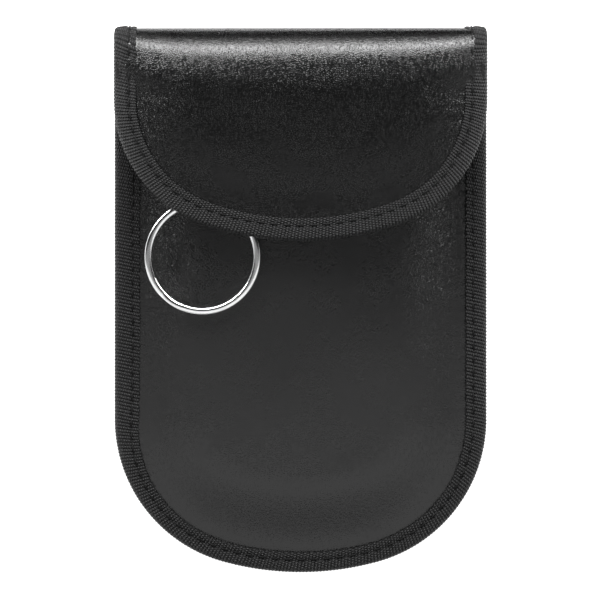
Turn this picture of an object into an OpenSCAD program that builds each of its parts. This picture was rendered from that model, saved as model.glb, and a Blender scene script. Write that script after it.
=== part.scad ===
// Signal-blocking key pouch with a fold-over flap, lying on its back with the flap closed.
// X runs across the pouch, Y towards the fold and Z out of the front. All sizes are in millimetres.

/* [Overall] */
// Width over the edge binding
pouch_w = 95.6; // [84:0.4:120]
// Length from the outside of the fold to the bottom edge
pouch_l = 140; // [118:1:180]
// Depth of the open pocket at its middle
pocket_gap = 5.2; // [4.8:0.2:8]

/* [Body outline] */
// Radius of the two bottom corners
corner_r = 38; // [32:1:40]
// Radius of the shallow curve between the bottom corners
bottom_r = 75; // [60:1:110]
// Distance from the fold down to the pocket mouth
mouth_drop = 12; // [10:0.5:16]

/* [Flap outline] */
// Distance from the fold down to the flap's lowest point
flap_drop = 54.7; // [50:0.5:64]
// Radius of the flap's two corners
flap_corner_r = 34; // [31:1:38]
// Radius of the shallow curve between the flap's corners
flap_bottom_r = 75; // [60:1:110]
// How far the flap's sides droop below its middle
flap_droop = 7.3; // [4:0.1:8]
// Half width of the flap's flat middle
flap_flat = 18; // [16:0.5:19]

/* [Layers] */
// Thickness of the outer leather
leather_t = 1; // [0.8:0.1:1.2]
// Thickness of the foam padding
foam_t = 1.2; // [0.8:0.1:2]
// Thickness of the front foam where the seam presses it flat
foam_pressed_t = 0.4; // [0.3:0.05:0.6]
// Thickness of one shielding cloth
shield_t = 0.25; // [0.2:0.05:0.4]
// Thickness of the binding tape, which is let into the leather
tape_t = 0.6; // [0.4:0.05:0.7]
// Width that the binding tape covers on each face
tape_w = 5.6; // [4.5:0.1:6.8]
// Width of the flat seam that shows between the binding tape and the rise of the front
seam_margin = 1; // [0.6:0.1:3]
// Width over which the front rises from the seam to its full height
front_rise_w = 17; // [13:0.5:20]

/* [Fold] */
// Inner radius of the lower fold
fold_low_r = 1.5; // [1:0.1:2]
// Inner radius of the upper fold at its middle
fold_top_r = 5.3; // [4:0.1:6]
// Inner radius of the upper fold at its two ends
fold_end_r = 2; // [1.5:0.1:2.4]

/* [Closure] */
// Width of the hook and loop patches
patch_w = 26; // [20:1:28]
// Length of the hook and loop patches
patch_l = 20; // [14:1:20]
// Distance from the flap's lowest point up to the patches
patch_up = 10; // [9:0.5:11]
// Thickness of the woven backing of each patch
backing_t = 0.8; // [0.6:0.1:1]
// Width of the sewn edge round each patch
patch_edge = 2.2; // [1.8:0.1:3]
// Height of the loop pile above its backing
loop_pile = 1.6; // [1.2:0.1:1.8]
// Height of the hooks above their backing
hook_pile = 1.4; // [1:0.1:1.4]

/* [Split ring] */
// Outer diameter of the split ring
ring_d = 29.6; // [28:0.2:32]
// Radial width of the ring's flattened wire
ring_band = 1.7; // [1.4:0.1:2]
// Thickness of the ring's flattened wire
ring_wire_t = 1; // [0.9:0.05:1.2]
// Gap between the ring's two turns
ring_turn_gap = 0.45; // [0.42:0.01:0.6]
// Sideways place of the ring's centre
ring_x = -25.1; // [-27:0.1:-24]
// Distance from the flap's lowest point down to the ring's centre
ring_down = 4.2; // [3.5:0.1:6]
// Direction from the ring's centre to its ribbon tab, in degrees
tab_angle = 72; // [65:1:90]
// Width of the ribbon tab
tab_w = 8; // [6:0.5:9]
// Thickness of the ribbon
ribbon_t = 0.5; // [0.4:0.05:0.6]
// Running clearance between the ribbon and the ring
ring_clear = 0.3; // [0.3:0.05:0.4]

/* [Stitching] */
// Distance from one stitch to the next
stitch_pitch = 3.3; // [2.8:0.1:4]
// Length of the thread that shows in one stitch
stitch_l = 2.4; // [1.8:0.1:2.6]
// Thickness of the sewing thread
thread_t = 0.35; // [0.25:0.05:0.4]
// Distance from the outer edge to the stitch line on the binding
stitch_in = 3.7; // [3.2:0.1:4]

/* [Hidden] */

leather_black = "#242425";
foam_grey = "#5b5d60";
shield_silver = "#9a9c9e";
tape_black = "#161617";
thread_black = "#333335";
patch_black = "#1b1b1d";
ring_steel = "#c9cbce";

// How finely the curves are stepped
side_steps = 3;
corner_steps = 10;
bottom_steps = 3;
fold_steps = 4;
sector_fn = 72;
// A step in a skived edge leans by this much, so that its wall is never quite upright
skive_lean = 0.05;

half_w = pouch_w / 2;
half_l = pouch_l / 2;
mouth_y = half_l - mouth_drop;

// Thickness of a full stack: two shielding cloths, foam and leather
stack_t = 2 * shield_t + foam_t + leather_t;
// Thickness of the front stack in the seam
front_seam_t = 2 * shield_t + foam_pressed_t + leather_t;
seam_top_z = stack_t + front_seam_t;
seam_w = tape_w + seam_margin;
front_z = stack_t + pocket_gap + stack_t;

// The ribbon tab and ring stack up on the front, and the flap's middle clears them
ring_h = 2 * ring_wire_t + ring_turn_gap;
ring_low_z = front_z + ribbon_t + ring_clear;
tab_top_z = ring_low_z + ring_h + ring_clear + ribbon_t;
flap_clear = 0.3;
flap_in_z = tab_top_z + flap_clear + tape_t;

// Inside faces of the fold
fold_in_y = half_l - stack_t;
fold_low_y = fold_in_y - fold_low_r;
fold_low_z = stack_t + fold_low_r;

flap_low_y = half_l - flap_drop;
ring_y = flap_low_y - ring_down;
patch_low_y = flap_low_y + patch_up;

// An outline is [corner centre x, corner centre y, corner radius, bottom centre y, bottom radius, tangent angle]
function outline(low_y, r, big_r) =
    let (
        cx = half_w - r,
        by = low_y + big_r,
        cy = by - sqrt(pow(big_r - r, 2) - pow(cx, 2))
    )
    [cx, cy, r, by, big_r, 360 + atan2(cy - by, -cx)];

body_outline = outline(-half_l, corner_r, bottom_r);
flap_outline = outline(flap_low_y, flap_corner_r, flap_bottom_r);
outline_rows = side_steps + corner_steps + bottom_steps;

function on_corner(o, a, d) = [-o[0] + (o[2] - d) * cos(a), o[1] + (o[2] - d) * sin(a)];
function on_bottom(o, a, d) = [(o[4] - d) * cos(a), o[3] + (o[4] - d) * sin(a)];

// Row i of the left half of an outline, from top_y down to the middle of the bottom, inset by d
function outline_point(o, top_y, i, d) =
    i <= side_steps
        ? [-(half_w - d), top_y + (o[1] - top_y) * i / side_steps]
        : i <= side_steps + corner_steps
            ? on_corner(o, 180 + (o[5] - 180) * (i - side_steps) / corner_steps, d)
            : on_bottom(o, o[5] + (270 - o[5]) * (i - side_steps - corner_steps) / bottom_steps, d);

function outline_polygon(o, top_y, d) = concat(
    [for (i = [0:outline_rows]) outline_point(o, top_y, i, d)],
    [for (i = [outline_rows - 1:-1:0]) mirrored(outline_point(o, top_y, i, d))]
);

function mirrored(p) = len(p) == 2 ? [-p[0], p[1]] : [-p[0], p[1], p[2]];

// Length of the left half of an outline below top_y, and the point at a distance s along it
function arc_length(r, degrees) = r * degrees * PI / 180;
function half_length(o, top_y, d) =
    top_y - o[1] + arc_length(o[2] - d, o[5] - 180) + arc_length(o[4] - d, 270 - o[5]);
function point_along(o, top_y, d, s) =
    let (
        side = top_y - o[1],
        corner = arc_length(o[2] - d, o[5] - 180)
    )
    s <= side
        ? [-(half_w - d), top_y - s]
        : s <= side + corner
            ? on_corner(o, 180 + (s - side) / (o[2] - d) * 180 / PI, d)
            : on_bottom(o, o[5] + (s - side - corner) / (o[4] - d) * 180 / PI, d);

// How far the front has risen, from 0 at the seam to 1 on its middle, at a distance d from the edge
function rise(d) = sin(90 * min(1, max(0, (d - seam_w) / front_rise_w)));

// The flap's inside height, flat in the middle and drooping to its sides
droop_power = 2.6;
function droop(x) = pow(max(0, (abs(x) - flap_flat) / (half_w - flap_flat)), droop_power);
function flap_z(x) = flap_in_z - flap_droop * droop(x);
function fold_r(x) = fold_top_r + (fold_end_r - fold_top_r) * droop(x);

// A point on the strip between the two folds: h is the height above its inside face
spine_rows = 3 * fold_steps;
function spine_point(i, x, h) =
    i <= fold_steps
        ? arc_point(x, fold_low_y, fold_low_z, fold_low_r + h, -45 + 45 * i / fold_steps)
        : i <= 2 * fold_steps
            ? let (u = (i - fold_steps) / fold_steps)
              [x, fold_in_y + h, fold_low_z + (flap_z(x) - fold_r(x) - fold_low_z) * u]
            : upper_fold_point(x, h, 45 * (i - 2 * fold_steps) / fold_steps);
function arc_point(x, y, z, r, a) = [x, y + r * cos(a), z + r * sin(a)];
function upper_fold_point(x, h, a) =
    arc_point(x, fold_in_y - fold_r(x), flap_z(x) - fold_r(x), fold_r(x) + h, a);

// A point on the flap's left half: d is the inset from its edge and h the height above its inside face
flap_rows = fold_steps + outline_rows;
function flap_point(i, d, h) =
    let (side_x = -(half_w - d))
    i <= fold_steps
        ? upper_fold_point(side_x, h, 45 + 45 * i / fold_steps)
        : let (p = outline_point(flap_outline, fold_in_y - fold_r(side_x), i - fold_steps, d))
          [p[0], p[1], flap_z(p[0]) + h];

// A closed solid between two grids of points. With closed set, the last row folds onto itself.
module slab(lower, upper, closed) {
    rows = len(lower);
    cols = len(lower[0]);
    count = rows * cols;
    function id(i, j) = closed && i == rows - 1 && j >= cols / 2 ? i * cols + cols - 1 - j : i * cols + j;
    function whole(f) = f[0] == f[1] || f[1] == f[2] || f[0] == f[2] ? [] : [f];
    function quad(a, b, c, d) = concat(whole([a, b, c]), whole([a, c, d]));
    cells = [for (i = [0:rows - 2], j = [0:cols - 2]) [i, j]];
    faces = concat(
        [for (c = cells) let (i = c[0], j = c[1])
            each quad(count + id(i, j), count + id(i, j + 1), count + id(i + 1, j + 1), count + id(i + 1, j))],
        [for (c = cells) let (i = c[0], j = c[1])
            each quad(id(i, j), id(i + 1, j), id(i + 1, j + 1), id(i, j + 1))],
        [for (j = [0:cols - 2]) each quad(count + id(0, j + 1), count + id(0, j), id(0, j), id(0, j + 1))],
        closed ? [] : [for (j = [0:cols - 2])
            each quad(count + id(rows - 1, j), count + id(rows - 1, j + 1), id(rows - 1, j + 1), id(rows - 1, j))],
        [for (i = [0:rows - 2]) each quad(count + id(i, 0), count + id(i + 1, 0), id(i + 1, 0), id(i, 0))],
        [for (i = [0:rows - 2])
            each quad(count + id(i + 1, cols - 1), count + id(i, cols - 1), id(i, cols - 1), id(i + 1, cols - 1))]
    );
    polyhedron(points = concat([for (r = lower) each r], [for (r = upper) each r]), faces = faces);
}

// A closed solid swept through rows of eight points, which draw a C open to one side.
// Its outer leg, points 0 to 4, is split into triangles the way that a slab's upper face is,
// and its inner leg the way that a slab's lower face is, so that the tape and the layers share faces.
module c_sweep(sections) {
    rows = len(sections);
    sides = 8;
    outer_leg = 4;
    first = [[0, 1, 4, 5], [1, 2, 3, 4], [0, 5, 6, 7]];
    last = (rows - 1) * sides;
    faces = concat(
        [for (q = first) each [[q[0], q[1], q[2]], [q[0], q[2], q[3]]]],
        [for (q = first) each [[last + q[0], last + q[2], last + q[1]], [last + q[0], last + q[3], last + q[2]]]],
        [for (i = [0:rows - 2], k = [0:sides - 1])
            let (a = i * sides + k, b = i * sides + (k + 1) % sides)
            each k < outer_leg
                ? [[a, a + sides, b], [b, a + sides, b + sides]]
                : [[a, a + sides, b + sides], [a, b + sides, b]]]
    );
    polyhedron(points = [for (s = sections) each s], faces = faces);
}

// The binding's section as [inset, height] for a stack of thickness t
function tape_section(t) = [
    [0, -tape_t], [0, t], [tape_w, t], [tape_w, t - tape_t],
    [tape_t, t - tape_t], [tape_t, 0], [tape_w, 0], [tape_w, -tape_t]
];

// The pouch's back: flat plates that turn up into the first half of the lower fold
module back_plate(d, z_low, z_high, top_y) {
    translate([0, 0, z_low])
        linear_extrude(z_high - z_low)
            polygon(outline_polygon(body_outline, top_y, d));
}

module fold_sector(r_in, r_out, x_low, x_high) {
    translate([x_low, fold_low_y, fold_low_z])
        rotate([90, 0, 90])
            linear_extrude(x_high - x_low)
                intersection() {
                    difference() {
                        circle(r = r_out, $fn = sector_fn);
                        circle(r = r_in, $fn = sector_fn);
                    }
                    polygon([[0, 0], [0, -2 * r_out], [2 * r_out, -2 * r_out]]);
                }
}

module back_layer(z_low, z_high) {
    back_plate(tape_t, z_low, z_high, fold_low_y);
    fold_sector(
        fold_low_z - z_high, fold_low_z - z_low,
        -(half_w - tape_t), half_w - tape_t
    );
}

module back_leather() {
    color(leather_black) {
        back_layer(tape_t, leather_t);
        back_plate(tape_w, 0, leather_t, fold_low_y);
        fold_sector(fold_low_z - leather_t, fold_low_z, -(half_w - tape_w), half_w - tape_w);
    }
}

module back_padding() {
    color(foam_grey)
        back_layer(leather_t, leather_t + foam_t);
}

module back_shield_outer() {
    color(shield_silver)
        back_layer(leather_t + foam_t, leather_t + foam_t + shield_t);
}

module back_shield_inner() {
    color(shield_silver)
        back_layer(leather_t + foam_t + shield_t, stack_t);
}

// The pouch's front: its layers share the surfaces 0 to 4, counted outwards from the pocket
front_insets = concat(
    [tape_t, tape_w, tape_w + skive_lean, seam_w],
    [for (u = [0.12, 0.28, 0.48, 0.72, 1]) seam_w + front_rise_w * u]
);

function front_height(k, d) =
    stack_t + pocket_gap * rise(d)
    + min(k, 2) * shield_t
    + (k >= 3 ? foam_pressed_t + (foam_t - foam_pressed_t) * rise(d) : 0)
    + (k >= 4 ? leather_t - (d <= tape_w ? tape_t : 0) : 0);

function front_row(k, i) =
    let (left = [for (d = front_insets)
        let (p = outline_point(body_outline, mouth_y, i, d)) [p[0], p[1], front_height(k, d)]])
    concat(left, [for (n = [len(left) - 1:-1:0]) mirrored(left[n])]);

module front_layer(k) {
    slab(
        [for (i = [0:outline_rows]) front_row(k, i)],
        [for (i = [0:outline_rows]) front_row(k + 1, i)],
        true
    );
}

module front_shield_inner() {
    color(shield_silver)
        front_layer(0);
}

module front_shield_outer() {
    color(shield_silver)
        front_layer(1);
}

module front_padding() {
    color(foam_grey)
        front_layer(2);
}

module front_leather() {
    color(leather_black)
        front_layer(3);
}

// The binding round the body: it grips both panels below the mouth and the back alone above it
module edge_ring(d_out, d_in, z_low, z_high, low_y, top_y) {
    translate([0, 0, z_low])
        linear_extrude(z_high - z_low)
            intersection() {
                difference() {
                    polygon(outline_polygon(body_outline, half_l, d_out));
                    polygon(outline_polygon(body_outline, half_l + tape_w, d_in));
                }
                translate([-half_w, low_y])
                    square([pouch_w, top_y - low_y]);
            }
}

module body_binding() {
    color(tape_black) {
        edge_ring(0, tape_w, 0, tape_t, -half_l, fold_low_y);
        edge_ring(0, tape_t, 0, seam_top_z, -half_l, mouth_y);
        edge_ring(0, tape_w, seam_top_z - tape_t, seam_top_z, -half_l, mouth_y);
        edge_ring(0, tape_t, 0, stack_t + tape_t, mouth_y, fold_low_y);
        edge_ring(0, tape_w, stack_t, stack_t + tape_t, mouth_y, fold_low_y);
        for (side = [0, 1])
            mirror([side, 0, 0]) {
                fold_sector(fold_low_r + stack_t - tape_t, fold_low_r + stack_t, half_w - tape_w, half_w);
                fold_sector(fold_low_r - tape_t, fold_low_r + stack_t, half_w - tape_t, half_w);
                fold_sector(fold_low_r - tape_t, fold_low_r, half_w - tape_w, half_w);
            }
    }
}

// The binding over the mouth's edge, between the places where the front has risen enough to take it
mouth_first = 5;
mouth_last = 2 * len(front_insets) - 1 - mouth_first;

module mouth_binding() {
    inside = front_row(0, 0);
    outside = front_row(4, 0);
    color(tape_black)
        c_sweep([for (j = [mouth_last:-1:mouth_first])
            let (x = inside[j][0], low = inside[j][2], high = outside[j][2])
            [
                [x, mouth_y + tape_t, low - tape_t],
                [x, mouth_y + tape_t, high + tape_t],
                [x, mouth_y - tape_w, high + tape_t],
                [x, mouth_y - tape_w, high],
                [x, mouth_y, high],
                [x, mouth_y, low],
                [x, mouth_y - tape_w, low],
                [x, mouth_y - tape_w, low - tape_t]
            ]
        ]);
}

// One stitch, centred on a point and lying along a direction
module stitch(p, along) {
    translate(p)
        rotate([0, -asin(along[2] / norm(along)), atan2(along[1], along[0])])
            translate([-stitch_l / 2, -thread_t / 2, 0])
                cube([stitch_l, thread_t, thread_t]);
}

// A row of stitches from one point to another on a level face
module stitch_row(from, to) {
    run = norm(to - from);
    count = max(1, floor(run / stitch_pitch));
    for (n = [0.5:count])
        stitch(from + (to - from) * n / count, to - from);
}

module body_stitching() {
    run = half_length(body_outline, mouth_y, stitch_in);
    count = floor(run / stitch_pitch);
    small = 0.1;
    color(thread_black)
        for (side = [0, 1], n = [0.5:count])
            mirror([side, 0, 0])
                let (
                    p = point_along(body_outline, mouth_y, stitch_in, run * n / count),
                    q = point_along(body_outline, mouth_y, stitch_in, run * n / count + small)
                )
                stitch([p[0], p[1], seam_top_z], [q[0] - p[0], q[1] - p[1], 0]);
}

module mouth_stitching() {
    flat_x = half_w - seam_w - front_rise_w;
    y = mouth_y - tape_w / 2;
    z = front_z + tape_t;
    color(thread_black)
        stitch_row([-flat_x, y, z], [flat_x, y, z]);
}

// A hook or loop patch on a level face, lying upwards from its backing
module patch(pile) {
    translate([-patch_w / 2, 0, 0])
        cube([patch_w, patch_l, backing_t]);
    translate([-patch_w / 2 + patch_edge, patch_edge, backing_t])
        cube([patch_w - 2 * patch_edge, patch_l - 2 * patch_edge, pile]);
}

module patch_stitching() {
    x = patch_w / 2 - patch_edge / 2;
    low_y = patch_edge / 2;
    high_y = patch_l - patch_edge / 2;
    end_gap = patch_edge;
    for (y = [low_y, high_y])
        stitch_row([-x + end_gap, y, backing_t], [x - end_gap, y, backing_t]);
    for (side = [-1, 1])
        stitch_row([side * x, low_y, backing_t], [side * x, high_y, backing_t]);
}

module loop_patch() {
    color(patch_black)
        translate([0, patch_low_y, front_z])
            patch(loop_pile);
}

module loop_patch_stitching() {
    color(thread_black)
        translate([0, patch_low_y, front_z])
            patch_stitching();
}

// The hook patch hangs from the flap's flat middle, so it is turned over
module hook_patch() {
    color(patch_black)
        translate([0, patch_low_y, flap_in_z])
            mirror([0, 0, 1])
                patch(hook_pile);
}

module hook_patch_stitching() {
    color(thread_black)
        translate([0, patch_low_y, flap_in_z])
            mirror([0, 0, 1])
                patch_stitching();
}

// The ribbon tab in the ring's own directions: its section runs outwards from the ring's centre
tab_bend_r = (ring_h + 2 * ring_clear) / 2;
wire_in_r = sqrt(pow(ring_d / 2 - ring_band, 2) - pow(tab_w / 2, 2));
tab_bend_y = wire_in_r - ring_clear;
tab_join_y = ring_d / 2 + ring_clear + tab_bend_r;
tab_sewn_l = 5;
tab_lead = 3;

module at_tab() {
    translate([ring_x, ring_y, front_z])
        rotate([0, 0, tab_angle - 90])
            children();
}

// A strip of the ribbon's width, whose section runs outwards in X and up in Y
module ribbon_strip() {
    at_tab()
        translate([-tab_w / 2, 0, 0])
            rotate([90, 0, 90])
                linear_extrude(tab_w)
                    children();
}

module ring_tab() {
    mid_z = ribbon_t + tab_bend_r;
    top_z = mid_z + tab_bend_r;
    end_y = tab_join_y + tab_lead + tab_sewn_l;
    color(tape_black) {
        ribbon_strip()
            translate([tab_bend_y, mid_z])
                intersection() {
                    difference() {
                        circle(r = tab_bend_r + ribbon_t, $fn = sector_fn);
                        circle(r = tab_bend_r, $fn = sector_fn);
                    }
                    translate([-2 * tab_bend_r, -2 * tab_bend_r])
                        square([2 * tab_bend_r, 4 * tab_bend_r]);
                }
        ribbon_strip()
            translate([tab_bend_y, 0])
                square([end_y - tab_bend_y, ribbon_t]);
        ribbon_strip()
            polygon([
                [tab_bend_y, top_z], [tab_bend_y, top_z + ribbon_t],
                [tab_join_y, top_z + ribbon_t], [tab_join_y + tab_lead, 2 * ribbon_t],
                [end_y, 2 * ribbon_t], [end_y, ribbon_t],
                [tab_join_y + tab_lead - ribbon_t, ribbon_t], [tab_join_y - ribbon_t, top_z]
            ]);
    }
}

module ring_tab_stitching() {
    half = tab_w / 2 - thread_t;
    z = 2 * ribbon_t;
    first_y = tab_join_y + tab_lead + 1;
    color(thread_black)
        at_tab()
            for (y = [first_y, first_y + tab_sewn_l / 2])
                stitch_row([-half, y, z], [half, y, z]);
}

// The split ring: one flattened wire of nearly two turns, which climbs once
ring_steps = 24;
climb_from = 330;
climb_to = 360;
wire_end = 690;
wire_rows = wire_end * ring_steps / 360;
ring_mid_r = (ring_d - ring_band) / 2;
wire_bevel = 0.3;

function ring_climb(a) =
    (ring_wire_t + ring_turn_gap) * min(1, max(0, (a - climb_from) / (climb_to - climb_from)));
function wire_section(a) =
    let (z = ring_climb(a), b = ring_band / 2, h = ring_wire_t / 2)
    [for (q = [[-b, 0], [-b + wire_bevel, h], [b - wire_bevel, h], [b, 0], [b - wire_bevel, -h], [-b + wire_bevel, -h]])
        [(ring_mid_r + q[0]) * cos(a), (ring_mid_r + q[0]) * sin(a), h + z + q[1]]];
wire_rings = [for (i = [0:wire_rows]) wire_section(wire_end * i / wire_rows)];

// Least gap between the ring's turns, measured between points about a turn apart
near_turn = ring_steps - 4;
least_turn_gap = min([for (i = [0:wire_rows], j = [0:wire_rows]) if (j - i >= near_turn)
    each [for (p = wire_rings[i], q = wire_rings[j]) norm(p - q)]]);
echo(ring_least_turn_gap = least_turn_gap);

module split_ring() {
    sides = 6;
    last = wire_rows * sides;
    color(ring_steel)
        translate([ring_x, ring_y, ring_low_z])
            rotate([0, 0, tab_angle + 180])
                polyhedron(
                    points = [for (r = wire_rings) each r],
                    faces = concat(
                        [for (k = [1:sides - 2]) [0, k, k + 1]],
                        [for (k = [1:sides - 2]) [last, last + k + 1, last + k]],
                        [for (i = [0:wire_rows - 1], k = [0:sides - 1])
                            let (a = i * sides + k, b = i * sides + (k + 1) % sides)
                            each [[a, a + sides, b + sides], [a, b + sides, b]]]
                    )
                );
}

// The strip between the folds, across the same insets as the flap's sides
flap_insets = concat(
    [tape_t, tape_w, tape_w + skive_lean],
    [for (u = [0.2, 0.45, 0.72, 1]) tape_w + (half_w - flap_flat - tape_w) * u]
);

// Heights of the layers' shared surfaces above the inside face
function layer_height(k, d) = [
    0, shield_t, 2 * shield_t, 2 * shield_t + foam_t,
    stack_t - (d <= tape_w ? tape_t : 0)
][k];

function spine_row(k, i) =
    let (left = [for (d = flap_insets) spine_point(i, -(half_w - d), layer_height(k, d))])
    concat(left, [for (n = [len(left) - 1:-1:0]) mirrored(left[n])]);

module fold_layer(k) {
    slab(
        [for (i = [0:spine_rows]) spine_row(k, i)],
        [for (i = [0:spine_rows]) spine_row(k + 1, i)],
        false
    );
}

module fold_shield_inner() {
    color(shield_silver)
        fold_layer(0);
}

module fold_shield_outer() {
    color(shield_silver)
        fold_layer(1);
}

module fold_padding() {
    color(foam_grey)
        fold_layer(2);
}

module fold_leather() {
    color(leather_black)
        fold_layer(3);
}

module fold_binding() {
    color(tape_black)
        for (side = [0, 1])
            mirror([side, 0, 0])
                c_sweep([for (i = [0:spine_rows])
                    [for (q = tape_section(stack_t)) spine_point(i, -(half_w - q[0]), q[1])]
                ]);
}

// The flap and the half of the upper fold that turns with it
function flap_row(k, i) =
    let (left = [for (d = flap_insets) flap_point(i, d, layer_height(k, d))])
    concat(left, [for (n = [len(left) - 1:-1:0]) mirrored(left[n])]);

module flap_layer(k) {
    slab(
        [for (i = [0:flap_rows]) flap_row(k, i)],
        [for (i = [0:flap_rows]) flap_row(k + 1, i)],
        true
    );
}

module flap_shield_inner() {
    color(shield_silver)
        flap_layer(0);
}

module flap_shield_outer() {
    color(shield_silver)
        flap_layer(1);
}

module flap_padding() {
    color(foam_grey)
        flap_layer(2);
}

module flap_leather() {
    color(leather_black)
        flap_layer(3);
}

function flap_tape_row(i) =
    i <= flap_rows
        ? [for (q = tape_section(stack_t)) flap_point(i, q[0], q[1])]
        : [for (q = tape_section(stack_t)) mirrored(flap_point(2 * flap_rows - i, q[0], q[1]))];

module flap_binding() {
    color(tape_black)
        c_sweep([for (i = [0:2 * flap_rows]) flap_tape_row(i)]);
}

module flap_stitching() {
    top_y = fold_in_y - fold_top_r;
    run = half_length(flap_outline, top_y, stitch_in);
    count = floor(run / stitch_pitch);
    small = 0.1;
    // The thread lies just clear of the tape, whose faces are flat between their corners
    lift = 0.05;
    function thread_point(s) =
        let (p = point_along(flap_outline, top_y, stitch_in, s))
        [p[0], p[1], flap_z(p[0]) + stack_t + lift];
    color(thread_black)
        for (side = [0, 1], n = [0.5:count])
            mirror([side, 0, 0])
                let (s = run * n / count)
                stitch(thread_point(s), thread_point(s + small) - thread_point(s - small));
}

back_leather();
back_padding();
back_shield_outer();
back_shield_inner();
front_shield_inner();
front_shield_outer();
front_padding();
front_leather();
body_binding();
mouth_binding();
body_stitching();
mouth_stitching();
loop_patch();
loop_patch_stitching();
ring_tab();
ring_tab_stitching();
split_ring();
fold_leather();
fold_padding();
fold_shield_outer();
fold_shield_inner();
fold_binding();
flap_leather();
flap_padding();
flap_shield_outer();
flap_shield_inner();
flap_binding();
flap_stitching();
hook_patch();
hook_patch_stitching();
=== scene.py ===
"""Looks of the signal-blocking key pouch: leather, binding tape, stitching, lining, patches and ring.

Shapes are worked out in millimetres, in the frame's own directions, and become metres when a mesh is made.
"""

import math

import bmesh
import bpy
import numpy as np
from mathutils import Matrix, Vector


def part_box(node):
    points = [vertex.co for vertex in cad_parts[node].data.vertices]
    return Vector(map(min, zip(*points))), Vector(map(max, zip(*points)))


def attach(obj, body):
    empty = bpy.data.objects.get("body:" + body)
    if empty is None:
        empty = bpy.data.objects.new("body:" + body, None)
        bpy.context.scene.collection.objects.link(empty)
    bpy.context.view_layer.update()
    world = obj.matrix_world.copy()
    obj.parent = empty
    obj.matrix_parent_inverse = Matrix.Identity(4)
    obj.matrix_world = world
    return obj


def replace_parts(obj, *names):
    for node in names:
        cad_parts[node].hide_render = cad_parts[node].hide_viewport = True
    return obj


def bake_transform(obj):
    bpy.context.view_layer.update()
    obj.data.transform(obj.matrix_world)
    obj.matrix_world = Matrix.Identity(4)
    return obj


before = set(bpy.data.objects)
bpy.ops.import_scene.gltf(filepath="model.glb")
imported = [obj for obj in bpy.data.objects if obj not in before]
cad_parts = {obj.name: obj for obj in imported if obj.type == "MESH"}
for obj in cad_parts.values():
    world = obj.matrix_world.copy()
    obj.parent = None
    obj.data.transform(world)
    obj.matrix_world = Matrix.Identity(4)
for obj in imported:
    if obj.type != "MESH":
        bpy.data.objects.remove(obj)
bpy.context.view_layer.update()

MM = 0.001


def corners(node):
    """Lowest and highest corner of a CAD node, in millimetres."""
    low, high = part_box(node)
    return np.array(low) / MM, np.array(high) / MM


# Sizes that the frame gives
HALF_W = corners("body_binding")[1][0]
LOW_Y = corners("body_binding")[0][1]
FOLD_Y = corners("fold_leather")[1][1]
MOUTH_Y = corners("front_leather")[1][1]
FRONT_Z = corners("front_leather")[1][2]
FLAP_LOW_Y = corners("flap_binding")[0][1]
FLAP_Z = corners("flap_leather")[1][2]
RING_LOW, RING_HIGH = corners("split_ring")
LOOP_LOW, LOOP_HIGH = corners("loop_patch")
HOOK_LOW, HOOK_HIGH = corners("hook_patch")

# Layers, outlines and folds, as the part is cut and sewn
LEATHER_T = 1.0
FOAM_T = 1.2
FOAM_PRESSED_T = 0.4
CLOTH_T = 0.25
TAPE_T = 0.6
TAPE_W = 5.6
SEAM_W = 6.6
FRONT_RISE_W = 17.0
STACK_T = 2 * CLOTH_T + FOAM_T + LEATHER_T
POCKET_GAP = FRONT_Z - 2 * STACK_T
SEAM_T = 2 * CLOTH_T + FOAM_PRESSED_T + LEATHER_T
BODY_CORNER_R, BODY_BOTTOM_R = 38.0, 75.0
FLAP_CORNER_R, FLAP_BOTTOM_R = 34.0, 75.0
FOLD_LOW_R, FOLD_TOP_R, FOLD_END_R = 1.5, 5.3, 2.0
FLAP_DROOP, FLAP_FLAT, DROOP_POWER = 7.3, 18.0, 2.6
FOLD_IN_Y = FOLD_Y - STACK_T
FOLD_LOW_Y = FOLD_IN_Y - FOLD_LOW_R
FOLD_LOW_Z = STACK_T + FOLD_LOW_R
FLAP_IN_Z = FLAP_Z - STACK_T
ROLL_FROM_Y = 52.5
ROLL_DEPTH, ROLL_LEAN = 2.5, 1.0

FLAP_SIDE_Y = FOLD_IN_Y - FOLD_END_R

# Sewing
STITCH_PITCH = 3.3
THREAD_D = 0.42
RIB_PITCH = 0.88
BEAD_PITCH = 0.62

# The kinds of stretch that a path over the pouch has
ON_FOLD = ("strip", "arc")
ON_OUTLINE = ("side", "corner", "bottom")

# The photograph's frame: its height at the level of the pouch's edge, its middle, and a long lens
VIEW_HEIGHT = 154.7
VIEW_X, VIEW_Y = -0.15, 0.05
SENSOR, LENS = 36.0, 300.0
EDGE_Z = 3.0


def camera():
    """A long lens straight above the pouch, with the fold at the top of the picture."""
    data = bpy.data.cameras.new("camera")
    data.sensor_width, data.lens = SENSOR, LENS
    distance = VIEW_HEIGHT / 2 / (SENSOR / 2 / LENS)
    made = bpy.data.objects.new("camera", data)
    made.location = np.array([VIEW_X, VIEW_Y, EDGE_Z + distance]) * MM
    bpy.context.scene.collection.objects.link(made)
    bpy.context.scene.camera = made


camera()


# Outlines and the surfaces that follow them


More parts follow.
